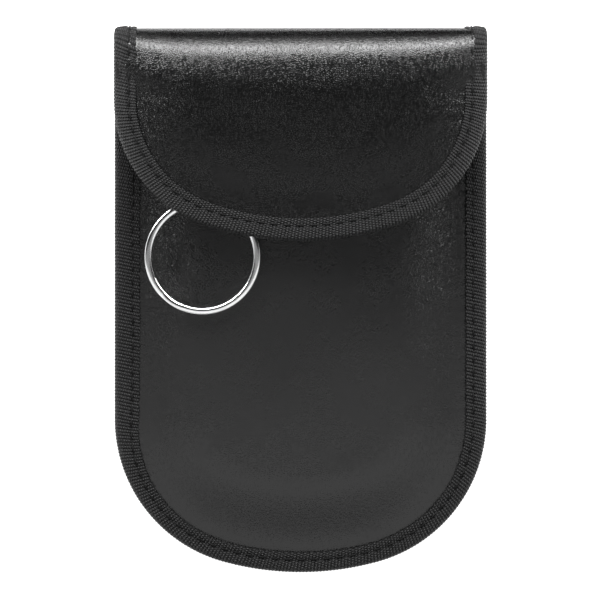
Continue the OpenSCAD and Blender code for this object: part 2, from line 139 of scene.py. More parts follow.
class Edge:
    """A bound outline, mirrored to the right: a straight side, a round corner and half the shallow bottom."""

    def __init__(self, low_y, corner_r, bottom_r):
        self.r, self.big_r = corner_r, bottom_r
        self.cx = HALF_W - corner_r
        self.by = low_y + bottom_r
        self.cy = self.by - math.sqrt((bottom_r - corner_r) ** 2 - self.cx**2)
        self.turn = math.atan2(self.cy - self.by, -self.cx) + 2 * math.pi

    def stretches(self, top_y):
        """Lengths of the side, the corner and half the bottom, below top_y."""
        return [
            ("side", top_y - self.cy),
            ("corner", self.r * (self.turn - math.pi)),
            ("bottom", self.big_r * (1.5 * math.pi - self.turn)),
        ]

    def at(self, kind, share, top_y, d):
        """A point on the left half, at a share of a stretch and inset by d."""
        if kind == "side":
            return -(HALF_W - d), top_y + (self.cy - top_y) * share
        if kind == "corner":
            angle = math.pi + (self.turn - math.pi) * share
            return -self.cx + (self.r - d) * math.cos(angle), self.cy + (self.r - d) * math.sin(angle)
        angle = self.turn + (1.5 * math.pi - self.turn) * share
        return (self.big_r - d) * math.cos(angle), self.by + (self.big_r - d) * math.sin(angle)

    def inset(self, x, y):
        """How far points lie in from the outline."""
        x = np.abs(x)
        in_bottom = x * (self.by - self.cy) < self.cx * (self.by - y)
        corner = np.where(y > self.cy, self.r - (x - self.cx), self.r - np.hypot(x - self.cx, y - self.cy))
        return np.where(in_bottom & (y <= self.cy), self.big_r - np.hypot(x, y - self.by), corner)


BODY_EDGE = Edge(LOW_Y, BODY_CORNER_R, BODY_BOTTOM_R)
FLAP_EDGE = Edge(FLAP_LOW_Y, FLAP_CORNER_R, FLAP_BOTTOM_R)


def smooth(value, start, end):
    """0 before start, 1 after end, with an easy step between."""
    t = np.clip((value - start) / (end - start), 0, 1)
    return t * t * (3 - 2 * t)


def droop(x):
    """How far the flap's sides hang, from 0 at its flat middle to 1 at the edge."""
    return (np.maximum(0, np.abs(x) - FLAP_FLAT) / (HALF_W - FLAP_FLAT)) ** DROOP_POWER


def flap_z(x):
    """Height of the flap's inside face."""
    return FLAP_IN_Z - FLAP_DROOP * droop(x)


def fold_r(x):
    """Inner radius of the upper fold."""
    return FOLD_TOP_R + (FOLD_END_R - FOLD_TOP_R) * droop(x)


def strip_top_z(x):
    """Where the strip between the folds ends and the upper fold starts."""
    return flap_z(x) - fold_r(x)


def roll(x, y):
    """How far the flap sinks into its roll over the fold, more at the left than at the right."""
    depth = (ROLL_DEPTH - ROLL_LEAN * x / HALF_W) * (1 - droop(x))
    return depth * np.clip((y - ROLL_FROM_Y) / (FOLD_Y - ROLL_FROM_Y), 0, None) ** 2


def strip_z(x, h, share):
    """Height on the strip between the folds, at a share of it from the lower fold up."""
    return FOLD_LOW_Z + (strip_top_z(x) - roll(x, FOLD_IN_Y + h) - FOLD_LOW_Z) * share


PUCKER_REACH = 1.6
FRONT_RIPPLE = 0.22


def ripple(x, y):
    """Slow unevenness of hand-laid padding, from -1 to 1."""
    return (
        np.sin(x / 9.3 + 0.6 * np.sin(y / 13.1) + 1.1)
        + np.sin(y / 11.7 + 0.8 * np.sin(x / 17.3) + 2.3)
        + np.sin((x + y) / 7.1 + 0.4)
        + np.sin((x - 1.4 * y) / 8.9 + 4.0)
    ) / 4


def pucker(along, d):
    """The dimples that stitches draw into leather beside the tape, from 0 to 1."""
    wave = 0.5 + 0.5 * np.cos(2 * math.pi * along / STITCH_PITCH)
    return wave * np.exp(-np.maximum(0, d - TAPE_W) / PUCKER_REACH)


# The back of the pouch and the half of the fold's strip that goes with it

BACK_ARC = FOLD_LOW_R + STACK_T / 2
STRIP_LENGTH = float(strip_top_z(HALF_W)) - FOLD_LOW_Z
BACK_STRIP = STRIP_LENGTH / 2
BACK_PATH = [("strip", BACK_STRIP), ("arc", BACK_ARC * math.pi / 2)] + BODY_EDGE.stretches(FOLD_LOW_Y)


def on_back(kind, share, x, y, h):
    """The point at height h on the back or on its share of the fold.

    Heights count outwards from the inside face, so the leather's outer face is at STACK_T and the pocket lies
    at negative heights.
    """
    if kind == "strip":
        return x, FOLD_IN_Y + h, strip_z(x, h, 0.5 - share / 2)
    if kind == "arc":
        angle = -share * math.pi / 2
        r = FOLD_LOW_R + h
        return x, FOLD_LOW_Y + r * math.cos(angle), FOLD_LOW_Z + r * math.sin(angle)
    return x, y, STACK_T - h


# The flap and the half of the fold's strip that goes with it

FLAP_TOP_Y = FOLD_IN_Y - FOLD_TOP_R
FLAP_HELD_Y = 44.0
FLAP_ARC = FOLD_END_R + STACK_T / 2
FLAP_PATH = [
    ("strip", STRIP_LENGTH / 2),
    ("arc", FLAP_ARC * math.pi / 2),
] + FLAP_EDGE.stretches(FLAP_SIDE_Y)


def on_flap(kind, share, x, y, h):
    """The point on the flap or on its share of the fold, at height h outwards from its lining."""
    if kind == "strip":
        return x, FOLD_IN_Y + h, strip_z(x, h, 0.5 + share / 2)
    if kind == "arc":
        angle, r = share * math.pi / 2, fold_r(x) + h
        py, pz = FOLD_IN_Y - fold_r(x) + r * np.cos(angle), strip_top_z(x) + r * np.sin(angle)
    else:
        reach = smooth(y, FLAP_HELD_Y, FLAP_SIDE_Y)
        py, pz = y - (fold_r(x) - FOLD_END_R) * reach, flap_z(x) + h
    return x, py, pz - roll(x, py)


# The front of the pouch, from the mouth down

FRONT_PATH = BODY_EDGE.stretches(MOUTH_Y)
POCKET_FACE, OUTER_FACE = 0, 4


def front_rise(d):
    """How far the front has come up from its seam at an inset d, from 0 to 1."""
    return smooth(d, SEAM_W - 1.5, SEAM_W + FRONT_RISE_W)


def front_z(level, x, y):
    """Height of one of the five faces that the front's four layers share."""
    rise = front_rise(BODY_EDGE.inset(x, y))
    z = STACK_T + POCKET_GAP * rise + min(level, 2) * CLOTH_T
    if level >= 3:
        z = z + FOAM_PRESSED_T + (FOAM_T - FOAM_PRESSED_T) * rise
    if level == OUTER_FACE:
        z = z + LEATHER_T
    return z + FRONT_RIPPLE * rise * ripple(x, y)


def girth(path):
    """Length of both halves of a path."""
    return 2 * sum(length for _, length in path)


def locate(path, t):
    """The stretch and the share of it at a distance t along a path, and whether that is on its right half."""
    half = girth(path) / 2
    mirrored = t > half
    rest = 2 * half - t if mirrored else t
    for kind, length in path[:-1]:
        if rest <= length:
            return kind, rest / length, mirrored
        rest -= length
    kind, length = path[-1]
    return kind, min(1.0, rest / length), mirrored


# Meshes


def place(obj):
    """Puts an object in the scene."""
    bpy.context.scene.collection.objects.link(obj)
    return obj


def mesh_object(name, points, faces, material, attributes=None, sharp=40):
    """A piece from points in millimetres, with doubles merged, normals outwards and creases kept."""
    mesh = bpy.data.meshes.new(name)
    mesh.from_pydata((np.asarray(points, float) * MM).tolist(), [], faces)
    for key, values in (attributes or {}).items():
        made = mesh.attributes.new(key, "FLOAT", "POINT")
        made.data.foreach_set("value", np.asarray(values, np.float32).ravel())
    work = bmesh.new()
    work.from_mesh(mesh)
    bmesh.ops.remove_doubles(work, verts=work.verts, dist=2e-6)
    bmesh.ops.dissolve_degenerate(work, edges=work.edges, dist=1e-7)
    bmesh.ops.recalc_face_normals(work, faces=work.faces)
    work.to_mesh(mesh)
    work.free()
    mesh.shade_smooth()
    mesh.set_sharp_from_angle(angle=math.radians(sharp))
    mesh.materials.append(material)
    return place(bpy.data.objects.new(name, mesh))


def grid_faces(rows, cols, first=0, closed=False):
    """Faces between the neighbouring points of a grid, whose rows may be closed rings."""
    faces = []
    for i in range(rows - 1):
        for j in range(cols if closed else cols - 1):
            here, beside = first + i * cols + j, first + i * cols + (j + 1) % cols
            faces.append([here, beside, beside + cols, here + cols])
    return faces


def capped_rings(name, rings, material, attributes=None, sharp=40):
    """A closed tube through rings of equal count, with a cap at each end."""
    rows, cols = rings.shape[:2]
    faces = grid_faces(rows, cols, closed=True)
    faces += [list(range(cols)), list(range((rows - 1) * cols, rows * cols))]
    return mesh_object(name, rings.reshape(-1, 3), faces, material, attributes, sharp)


def slab(name, lower, upper, material, attributes):
    """A solid between two grids of points, whose last row folds onto itself and needs no rim."""
    rows, cols = lower.shape[:2]
    count = rows * cols
    faces = grid_faces(rows, cols) + grid_faces(rows, cols, count)
    rim = [(j, j + 1) for j in range(cols - 1)]
    rim += [(i * cols, (i + 1) * cols) for i in range(rows - 1)]
    rim += [(i * cols + cols - 1, (i + 1) * cols + cols - 1) for i in range(rows - 1)]
    faces += [[here, beside, count + beside, count + here] for here, beside in rim]
    points = np.concatenate([lower.reshape(-1, 3), upper.reshape(-1, 3)])
    both = {key: np.concatenate([values.ravel(), values.ravel()]) for key, values in attributes.items()}
    return mesh_object(name, points, faces, material, both)


FOLD_ROWS = 8


def panel_rows(path, step):
    """Stretch and share of each row down a path's left half, with the distance along it."""
    rows, start = [], 0.0
    for n, (kind, length) in enumerate(path):
        count = FOLD_ROWS if kind in ON_FOLD else max(2, round(length / step))
        shares = np.linspace(0, 1, count + 1)[min(n, 1) :]
        rows += [(kind, float(share), start + length * float(share)) for share in shares]
        start += length
    return rows


def panel_grid(path, edge, top_y, insets, middle, step, surface):
    """Points of a panel: rows run from the left edge to the right one, across insets and a middle."""
    points, down, across = [], [], []
    on_fold = sum(length for kind, length in path if kind in ON_FOLD)
    for kind, share, distance in panel_rows(path, step):
        flat = kind in ON_OUTLINE
        left = [edge.at(kind, share, top_y, d) if flat else edge.at("side", 0.0, top_y, d) for d in insets]
        inner_x, inner_y = left[-1]
        shares = np.arange(1, middle + 1) / (middle + 1)
        left_x, left_y = np.array(left).T
        xs = np.concatenate([left_x, inner_x * (1 - 2 * shares), -left_x[::-1]])
        ys = np.concatenate([left_y, [inner_y] * middle, left_y[::-1]])
        places = surface(kind, share, xs, ys, distance)
        points.append(np.stack([np.broadcast_to(v, xs.shape) for v in places], -1))
        down.append(on_fold + top_y - ys if flat else np.full(xs.shape, distance))
        across.append(xs)
    return np.array(points), {"down": np.array(down), "across": np.array(across)}


LEG_POINTS, TURN_POINTS = 12, 3
TAPE_EDGE_SWELL = 0.12


def tape_section(h_in, h_out, w_in, w_out, r, bulge):
    """The binding's closed section as insets, heights, places across the tape, and 1 where it faces outwards.

    It starts at the inner end of the leg at height h_in, runs round the edge to the end of the leg at h_out,
    and comes back along the inside.
    """
    quarter = np.linspace(0, math.pi / 2, TURN_POINTS + 2)[1:-1]
    leg_in = np.linspace(w_in, r, LEG_POINTS)
    leg_out = np.linspace(r, w_out, LEG_POINTS)
    d = np.concatenate([
        leg_in, r - r * np.sin(quarter), [0, -TAPE_EDGE_SWELL, 0], r - r * np.cos(quarter), leg_out,
        [w_out, TAPE_T, TAPE_T, w_in],
    ])
    arch_in = bulge * np.sin(math.pi * np.linspace(0, 1, LEG_POINTS))
    arch_out = bulge * np.sin(math.pi * np.linspace(1, 0, LEG_POINTS))
    h = np.concatenate([
        h_in - arch_in, h_in + r - r * np.cos(quarter), [h_in + r, (h_in + h_out) / 2, h_out - r],
        h_out - r + r * np.sin(quarter), h_out + arch_out,
        [h_out - TAPE_T, h_out - TAPE_T, h_in + TAPE_T, h_in + TAPE_T],
    ])
    outer = len(d) - 4
    steps = np.hypot(np.diff(d[:outer]), np.diff(h[:outer]))
    across = np.concatenate([[0], np.cumsum(steps)])
    across = np.concatenate([across, [across[-1], across[-1] / 2, across[-1] / 2, 0]])
    outside = np.concatenate([np.ones(outer), np.zeros(4)])
    return d, h, across, outside


# Node trees


class Value:
    """A socket in a tree, so that node maths reads as arithmetic."""

    def __init__(self, tree, socket):
        self.tree, self.socket = tree, socket

    def maths(self, operation, *terms):
        made = self.tree.node("ShaderNodeMath", {"operation": operation}, dict(enumerate(terms)))
        return Value(self.tree, made.outputs[0])

    def __add__(self, other):
        return self.maths("ADD", self, other)

    __radd__ = __add__

    def __sub__(self, other):
        return self.maths("SUBTRACT", self, other)

    def __rsub__(self, other):
        return self.maths("SUBTRACT", other, self)

    def __mul__(self, other):
        return self.maths("MULTIPLY", self, other)

    __rmul__ = __mul__

    def __truediv__(self, other):
        return self.maths("DIVIDE", self, other)

    def __pow__(self, other):
        return self.maths("POWER", self, other)

    def sine(self):
        return self.maths("SINE", self)

    def cosine(self):
        return self.maths("COSINE", self)

    def size(self):
        return self.maths("ABSOLUTE", self)

    def whole(self):
        return self.maths("FLOOR", self)

    def most(self, other):
        return self.maths("MAXIMUM", self, other)

    def step(self, start, end):
        """0 before start and 1 after end, with an easy step between."""
        made = self.tree.node(
            "ShaderNodeMapRange", {"interpolation_type": "SMOOTHSTEP"},
            {"Value": self, "From Min": start, "From Max": end},
        )
        return Value(self.tree, made.outputs["Result"])


class Tree:
    """A node tree under construction."""

    def __init__(self, tree):
        self.tree = tree

    def node(self, kind, settings=None, inputs=None):
        """Adds a node: its settings first, then the values or links of its sockets."""
        made = self.tree.nodes.new(kind)
        for key, value in (settings or {}).items():
            if key == "stops":
                while len(made.color_ramp.elements) < len(value):
                    made.color_ramp.elements.new(1.0)
                for element, (position, colour) in zip(made.color_ramp.elements, value):
                    element.position, element.color = position, colour
            else:
                setattr(made, key, value)
        for key, value in (inputs or {}).items():
            if isinstance(value, Value):
                value = value.socket
            if isinstance(value, bpy.types.NodeSocket):
                self.tree.links.new(value, made.inputs[key])
            else:
                made.inputs[key].default_value = value
        return made

    def value(self, made, key=0):
        return Value(self, made.outputs[key])


class Finish(Tree):
    """A surface finish: a Principled shader whose colour, roughness, metal and bump may vary."""

    def __init__(self, name, **fixed):
        self.material = bpy.data.materials.new(name)
        self.material.use_nodes = True
        super().__init__(self.material.node_tree)
        self.tree.nodes.clear()
        self.shader = self.node("ShaderNodeBsdfPrincipled", None, fixed)
        self.node("ShaderNodeOutputMaterial", None, {"Surface": self.shader.outputs[0]})

    def place(self):
        """Object coordinates."""
        return self.node("ShaderNodeTexCoord").outputs["Object"]

    def attribute(self, name):
        made = self.node("ShaderNodeAttribute", {"attribute_type": "GEOMETRY", "attribute_name": name})
        return Value(self, made.outputs["Fac"])

    def noise(self, size, detail=2.0, where=None):
        made = self.node(
            "ShaderNodeTexNoise", None,
            {"Vector": where or self.place(), "Scale": 1 / (size * MM), "Detail": detail},
        )
        return Value(self, made.outputs[0])

    def cells(self, size, feature, where=None):
        made = self.node(
            "ShaderNodeTexVoronoi", {"feature": feature},
            {"Vector": where or self.place(), "Scale": 1 / (size * MM)},
        )
        return Value(self, made.outputs["Distance"])

    def shades(self, factor, dark, light):
        made = self.node(
            "ShaderNodeMix", {"data_type": "RGBA"},
            {0: factor, 6: (*dark, 1), 7: (*light, 1)},
        )
        return made.outputs[2]

    def paint(self, colour=None, roughness=None, metallic=None):
        for key, value in (("Base Color", colour), ("Roughness", roughness), ("Metallic", metallic)):
            if value is not None:
                socket = value.socket if isinstance(value, Value) else value
                self.tree.links.new(socket, self.shader.inputs[key])

    def bump(self, height, depth, strength=1.0):
        """Raises the surface by a height from 0 to 1, times depth in millimetres."""
        made = self.node(
            "ShaderNodeBump", None, {"Height": height, "Distance": depth * MM, "Strength": strength}
        )
        self.tree.links.new(made.outputs[0], self.shader.inputs["Normal"])


def pebbled_leather():
    """Black coated leather: small pebbles parted by fine creases, worn a little smoother on their crowns,
    with painted shade darkening the creases.
    """
    finish = Finish("pebbled_leather", **{"Specular IOR Level": 0.5})
    warp = finish.node(
        "ShaderNodeTexNoise", None, {"Vector": finish.place(), "Scale": 1 / (1.5 * MM), "Detail": 1.0}
    )
    moved = finish.node(
        "ShaderNodeVectorMath", {"operation": "MULTIPLY_ADD"},
        {0: warp.outputs["Color"], 1: (0.0003,) * 3, 2: finish.place()},
    ).outputs[0]
    crease = finish.cells(0.5, "DISTANCE_TO_EDGE", moved).step(0.0, 0.42)
    small = finish.cells(0.34, "F1", moved)
    pebble = crease * 0.8 + (1 - small) * 0.2
    patchy = finish.noise(9.0, 3.0)
    # Base colour is darker in the creases than on the crowns: painted shade in the creases. The patchy part
    # is random tone.
    finish.paint(
        colour=finish.shades(pebble * 0.7 + patchy * 0.3, (0.0005, 0.0005, 0.0005), (0.0014, 0.0014, 0.0015)),
        roughness=0.28 - 0.06 * pebble + 0.05 * (patchy - 0.5),
    )
    finish.bump(pebble, 0.055)
    return finish.material


def ribbed_tape():
    """Woven polyester tape: fat ribs across it, each made of short yarn floats, with painted shade in the
    gaps between yarns and painted highlights on their crowns.
    """
    finish = Finish("ribbed_tape", **{
        "Specular IOR Level": 0.25, "Sheen Weight": 0.03, "Sheen Roughness": 0.4,
    })
    across = finish.attribute("across")
    rib = finish.attribute("rib")
    rib_round = (rib * math.pi).sine().size()
    bead = across / BEAD_PITCH + rib.whole() * 0.5
    bead_round = (bead * math.pi).sine().size()
    yarn = rib_round**0.6 * (0.2 + 0.8 * bead_round)
    uneven = finish.noise(2.4, 2.0)
    # Base colour is near black between the yarns and lighter on their crowns: painted shade in the gaps and
    # painted highlights on the crowns. The uneven part is random tone.
    finish.paint(
        colour=finish.shades(yarn * (0.55 + 0.45 * uneven), (0.0005, 0.0005, 0.0005), (0.018, 0.018, 0.0185)),
        roughness=0.8 - 0.35 * yarn,
    )
    finish.bump(yarn, 0.5)
    return finish.material


def sewing_thread():
    """Twisted black thread with a slight gloss."""
    finish = Finish("sewing_thread", **{"Specular IOR Level": 0.18})
    ply = finish.noise(0.18, 1.0)
    finish.paint(
        colour=finish.shades(ply, (0.0006, 0.0006, 0.0006), (0.003, 0.003, 0.0031)),
        roughness=0.6 + 0.2 * ply,
    )
    finish.bump(ply, 0.05)
    return finish.material


YARN_PITCH = 0.36
GRID_YARNS, GRID_SHARPNESS = 14, 40.0


def shielding_cloth():
    """Grey metallised cloth: a plain weave with a coarser ripstop grid."""
    finish = Finish("shielding_cloth", **{"Specular IOR Level": 0.5})
    u = finish.attribute("down") / YARN_PITCH
    v = finish.attribute("across") / YARN_PITCH
    over = ((u * math.pi).sine() * (v * math.pi).sine()).size()
    grid_down = (u / GRID_YARNS).sine().size() ** GRID_SHARPNESS
    grid_across = (v / GRID_YARNS).sine().size() ** GRID_SHARPNESS
    tarnish = finish.noise(14.0, 3.0)
    weave = over * 0.8 + grid_down.most(grid_across) * 0.4
    finish.paint(
        colour=finish.shades(weave * 0.7 + tarnish * 0.3, (0.13, 0.13, 0.135), (0.42, 0.42, 0.41)),
        roughness=0.45 + 0.15 * tarnish,
        metallic=0.35 + 0.3 * over,
    )
    finish.bump(weave, 0.06)
    return finish.material


def soft_foam():
    """Open grey foam."""
    finish = Finish("soft_foam", **{"Specular IOR Level": 0.2})
    pores = finish.cells(0.5, "F1")
    finish.paint(
        colour=finish.shades(pores, (0.16, 0.16, 0.17), (0.05, 0.05, 0.055)),
        roughness=0.85 + 0.1 * pores,
    )
    finish.bump(1 - pores, 0.15)
    return finish.material


def patch_nylon(name, dark, light, roughness):
    """Nylon of the hook and loop patches, dull where it is fuzzy."""
    finish = Finish(name, **{"Specular IOR Level": 0.4, "Sheen Weight": 0.3})
    fleck = finish.noise(0.5, 2.0)
    finish.paint(colour=finish.shades(fleck, dark, light), roughness=roughness + 0.1 * fleck)
    finish.bump(fleck, 0.08)
    return finish.material


def polished_steel():
    """Nickel-plated spring steel with faint smears and fine scratches."""
    finish = Finish("polished_steel", **{"IOR": 2.2, "Metallic": 1.0})
    scratch = finish.noise(0.25, 3.0)
    smear = finish.noise(5.0, 2.0)
    finish.paint(
        colour=finish.shades(smear, (0.66, 0.665, 0.67), (0.86, 0.86, 0.86)),
        roughness=0.1 + 0.08 * scratch + 0.06 * smear,
    )
    finish.bump(scratch, 0.006)
    return finish.material


LEATHER = pebbled_leather()
TAPE = ribbed_tape()
THREAD = sewing_thread()
CLOTH = shielding_cloth()
FOAM = soft_foam()
STEEL = polished_steel()
PATCH_WEAVE = patch_nylon("patch_weave", (0.008, 0.008, 0.009), (0.022, 0.022, 0.024), 0.6)
LOOP_FLUFF = patch_nylon("loop_fluff", (0.01, 0.01, 0.011), (0.03, 0.03, 0.032), 0.7)
HOOK_NYLON = patch_nylon("hook_nylon", (0.008, 0.008, 0.009), (0.02, 0.02, 0.021), 0.35)


# Geometry node trees for what repeats


class Maker(Tree):
    """A geometry node tree with named inputs, which ends in Realize Instances and Set Material."""

    def __init__(self, name, inputs):
        super().__init__(bpy.data.node_groups.new(name, "GeometryNodeTree"))
        sockets = self.tree.interface
        sockets.new_socket("Geometry", in_out="OUTPUT", socket_type="NodeSocketGeometry")
        sockets.new_socket("Geometry", in_out="INPUT", socket_type="NodeSocketGeometry")
        self.identifiers = {}
        for key, default in {**inputs, "Seed": 1, "Material": None}.items():
            kind = {float: "NodeSocketFloat", int: "NodeSocketInt"}.get(type(default), "NodeSocketMaterial")
            made = sockets.new_socket(key, in_out="INPUT", socket_type=kind)
            if default is not None:
                made.default_value = default
            self.identifiers[key] = made.identifier
        self.entry = self.tree.nodes.new("NodeGroupInput")

    def given(self, key):
        return Value(self, self.entry.outputs[key])

    def attribute(self, name, kind="FLOAT"):
        made = self.node("GeometryNodeInputNamedAttribute", {"data_type": kind}, {"Name": name})
        return Value(self, made.outputs["Attribute"])

    def vector(self, x=0.0, y=0.0, z=0.0):
        return self.node("ShaderNodeCombineXYZ", None, {0: x, 1: y, 2: z}).outputs[0]

    def circle(self, points, radius):
        made = self.node("GeometryNodeCurvePrimitiveCircle", None, {"Resolution": points, "Radius": radius})
        return made.outputs[0]

    def tube(self, curve, profile):
        """A profile drawn along a curve, with its ends closed."""
        made = self.node("GeometryNodeCurveToMesh", None, {
            "Curve": curve, "Profile Curve": profile, "Fill Caps": True,
        })
        return made.outputs[0]

    def finished(self, geometry):
        whole = self.node("GeometryNodeRealizeInstances", None, {"Geometry": geometry})
        coated = self.node("GeometryNodeSetMaterial", None, {
            "Geometry": whole.outputs[0], "Material": self.given("Material"),
        })
        self.node("NodeGroupOutput", None, {0: coated.outputs[0]})
        return self


def make_mesh(obj, maker, material, **values):
    """Runs a tree on a piece and keeps the result as its plain mesh."""
    modifier = obj.modifiers.new(maker.tree.name, "NODES")
    modifier.node_group = maker.tree
    for key, value in {**values, "Material": material}.items():
        modifier[maker.identifiers[key.replace("_", " ")]] = value
    depsgraph = bpy.context.evaluated_depsgraph_get()
    depsgraph.update()
    mesh = bpy.data.meshes.new_from_object(
        obj.evaluated_get(depsgraph), preserve_all_data_layers=True, depsgraph=depsgraph
    )
    obj.modifiers.clear()
    obj.data = mesh
    mesh.name = obj.name
    return obj


def woven_ribs():
    """Raises a tape's outside in ribs that cross it, and counts them for its finish."""
    maker = Maker("woven_ribs", {"Rib pitch": RIB_PITCH, "Rib height": 0.2 * MM, "Slant": 0.04})
    along = maker.attribute("along")
    across = maker.attribute("across")
    rib = (along + across * maker.given("Slant")) / maker.given("Rib pitch")
    lift = ((rib * math.pi).sine().size() - 0.6) * maker.given("Rib height") * maker.attribute("outside")
    normal = maker.node("GeometryNodeInputNormal").outputs[0]
    offset = maker.node("ShaderNodeVectorMath", {"operation": "SCALE"}, {0: normal, "Scale": lift})
    moved = maker.node(
        "GeometryNodeSetPosition", None, {"Geometry": maker.given("Geometry"), "Offset": offset.outputs[0]}
    )
    counted = maker.node(
        "GeometryNodeStoreNamedAttribute", {"data_type": "FLOAT", "domain": "POINT"},
        {"Geometry": moved.outputs[0], "Name": "rib", "Value": rib},
    )
    return maker.finished(counted.outputs[0])


def stitch_line():
    """Lays a bowed stitch at each pitch along a line of points that carry the cloth's outward direction."""
    maker = Maker("stitch_line", {
        "Pitch": STITCH_PITCH * MM, "Length": 2.5 * MM, "Thickness": THREAD_D * MM,
        "Dip": 0.3 * MM, "Height": 0.24 * MM,
    })
    half = maker.given("Length") / 2
    dip = 0 - maker.given("Dip")
    bow = maker.node("GeometryNodeCurveQuadraticBezier", None, {
        "Resolution": 6,
        "Start": maker.vector(0 - half, 0.0, dip),
        "Middle": maker.vector(0.0, 0.0, maker.given("Height") * 2 + maker.given("Dip")),
        "End": maker.vector(half, 0.0, dip),
    })
    stitch = maker.tube(bow.outputs[0], maker.circle(6, maker.given("Thickness") / 2))
    line = maker.node("GeometryNodeMeshToCurve", None, {"Mesh": maker.given("Geometry")})
    spots = maker.node("GeometryNodeCurveToPoints", {"mode": "LENGTH"}, {
        "Curve": line.outputs[0], "Length": maker.given("Pitch"),
    })
    ahead = maker.node(
        "FunctionNodeAlignRotationToVector", {"axis": "X"}, {"Vector": spots.outputs["Tangent"]}
    )
    upright = maker.node(
        "FunctionNodeAlignRotationToVector", {"axis": "Z", "pivot_axis": "X"},
        {"Rotation": ahead.outputs[0], "Vector": maker.attribute("up", "FLOAT_VECTOR")},
    )
    length = maker.node(
        "FunctionNodeRandomValue", {"data_type": "FLOAT"},
        {2: 0.9, 3: 1.08, "Seed": maker.given("Seed")},
    )
    placed = maker.node("GeometryNodeInstanceOnPoints", None, {
        "Points": spots.outputs["Points"], "Instance": stitch, "Rotation": upright.outputs[0],
        "Scale": maker.vector(maker.value(length, 1), 1.0, 1.0),
    })
    return maker.finished(placed.outputs[0])


WANDER = 0.25


def pile():
    """Stands curved strands on a patch: loops when they come back down, hooks when they don't."""
    maker = Maker("pile", {
        "Height": 1.3 * MM, "Reach": 0.5 * MM, "Curl": 0.0, "Thickness": 0.12 * MM, "Wander": WANDER * MM,
    })
    height, reach = maker.given("Height"), maker.given("Reach")
    strand = maker.node("GeometryNodeCurvePrimitiveBezierSegment", None, {
        "Resolution": 8,
        "Start": maker.vector(0.0, 0.0, 0.0),
        "Start Handle": maker.vector(0 - reach * 0.5, 0.0, height * 1.35),
        "End Handle": maker.vector(reach * 1.5, 0.0, height * 1.35),
        "End": maker.vector(reach, 0.0, height * maker.given("Curl")),
    })
    tube = maker.tube(strand.outputs[0], maker.circle(4, maker.given("Thickness") / 2))
    spots = maker.node("GeometryNodeMeshToPoints", None, {"Mesh": maker.given("Geometry")})
    wander = maker.given("Wander")
    shift = maker.node("FunctionNodeRandomValue", {"data_type": "FLOAT_VECTOR"}, {
        0: maker.vector(0 - wander, 0 - wander, 0.0), 1: maker.vector(wander, wander, 0.0),
        "Seed": maker.given("Seed"),
    })
    moved = maker.node(
        "GeometryNodeSetPosition", None, {"Geometry": spots.outputs[0], "Offset": shift.outputs[0]}
    )
    turn = maker.node("FunctionNodeRandomValue", {"data_type": "FLOAT"}, {
        2: 0.0, 3: wander * (2 * math.pi / (WANDER * MM)), "Seed": maker.given("Seed") + 7,
    })
    placed = maker.node("GeometryNodeInstanceOnPoints", None, {
        "Points": moved.outputs[0], "Instance": tube,
        "Rotation": maker.vector(0.0, 0.0, maker.value(turn, 1)),
    })
    return maker.finished(placed.outputs[0])


def wound_ring():
    """Winds a flattened wire into a ring of nearly two turns, which climbs once from one turn to the next."""
    maker = Maker("wound_ring", {
        "Mid radius": 14.0 * MM, "Band": 1.7 * MM, "Wire": 1.0 * MM, "Climb": 1.45 * MM,
        "Turn": 690.0, "Climb from": 330.0, "Climb to": 360.0, "Steps": 690,
    })
    steps = maker.given("Steps")
    line = maker.node("GeometryNodeMeshLine", None, {"Count": steps + 1})
    index = maker.value(maker.node("GeometryNodeInputIndex"))
    degrees = index / steps * maker.given("Turn")
    angle = degrees * (math.pi / 180)
    climbed = (degrees - maker.given("Climb from")) / (maker.given("Climb to") - maker.given("Climb from"))
    height = climbed.step(0.0, 1.0) * maker.given("Climb") + maker.given("Wire") / 2
    radius = maker.given("Mid radius")
    bent = maker.node("GeometryNodeSetPosition", None, {
        "Geometry": line.outputs[0],
        "Position": maker.vector(angle.cosine() * radius, angle.sine() * radius, height),
    })
    wire = maker.node("GeometryNodeMeshToCurve", None, {"Mesh": bent.outputs[0]})
    upright = maker.node("GeometryNodeSetCurveNormal", {"mode": "Z_UP"}, {"Curve": wire.outputs[0]})
    profile = maker.node("GeometryNodeTransform", None, {
        "Geometry": maker.circle(28, 1.0),
        "Scale": maker.vector(maker.given("Band") / 2, maker.given("Wire") / 2, 1.0),
    })
    return maker.finished(maker.tube(upright.outputs[0], profile.outputs[0]))


RIBS = woven_ribs()
STITCHES = stitch_line()
PILE = pile()
RING = wound_ring()

# Where fabric turns with the joints: the ends of the lower and upper folds, which nothing in this script uses
LOWER_NEAR, LOWER_FAR = 0.85, 3.35
UPPER_BELOW, UPPER_REACH = 0.25, 8
UPPER_Z = float(strip_top_z(0)) - UPPER_BELOW
LOWER_FOLD = {
    "start": Vector((0, FOLD_LOW_Y + LOWER_NEAR, FOLD_LOW_Z - LOWER_FAR)) * MM,
    "end": Vector((0, FOLD_LOW_Y + LOWER_FAR, FOLD_LOW_Z - LOWER_NEAR)) * MM,
}
UPPER_FOLD = {
    "start": Vector((0, FOLD_Y, UPPER_Z)) * MM,
    "end": Vector((0, FOLD_Y - UPPER_REACH, UPPER_Z + UPPER_REACH)) * MM,
}


def sewn_to_back(obj, slot, *nodes):
    """Bakes a piece of the back into place and hides the CAD parts it stands for."""
    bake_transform(obj)
    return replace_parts(obj, *nodes)


def sewn_to_flap(obj, slot, *nodes):
    """Bakes a piece of the flap into place and hides the CAD parts it stands for."""
    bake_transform(obj)
    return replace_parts(obj, *nodes)


def fixed_to(body, obj, slot, *nodes):
    """Parents a piece to one body's empty, so that it moves with that body, and hides the CAD parts it stands
    for.
    """
    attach(obj, body)
    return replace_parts(obj, *nodes)


def sewn_to_front(obj, slot, *nodes):
    return fixed_to("pouch", obj, slot, *nodes)


# Panels

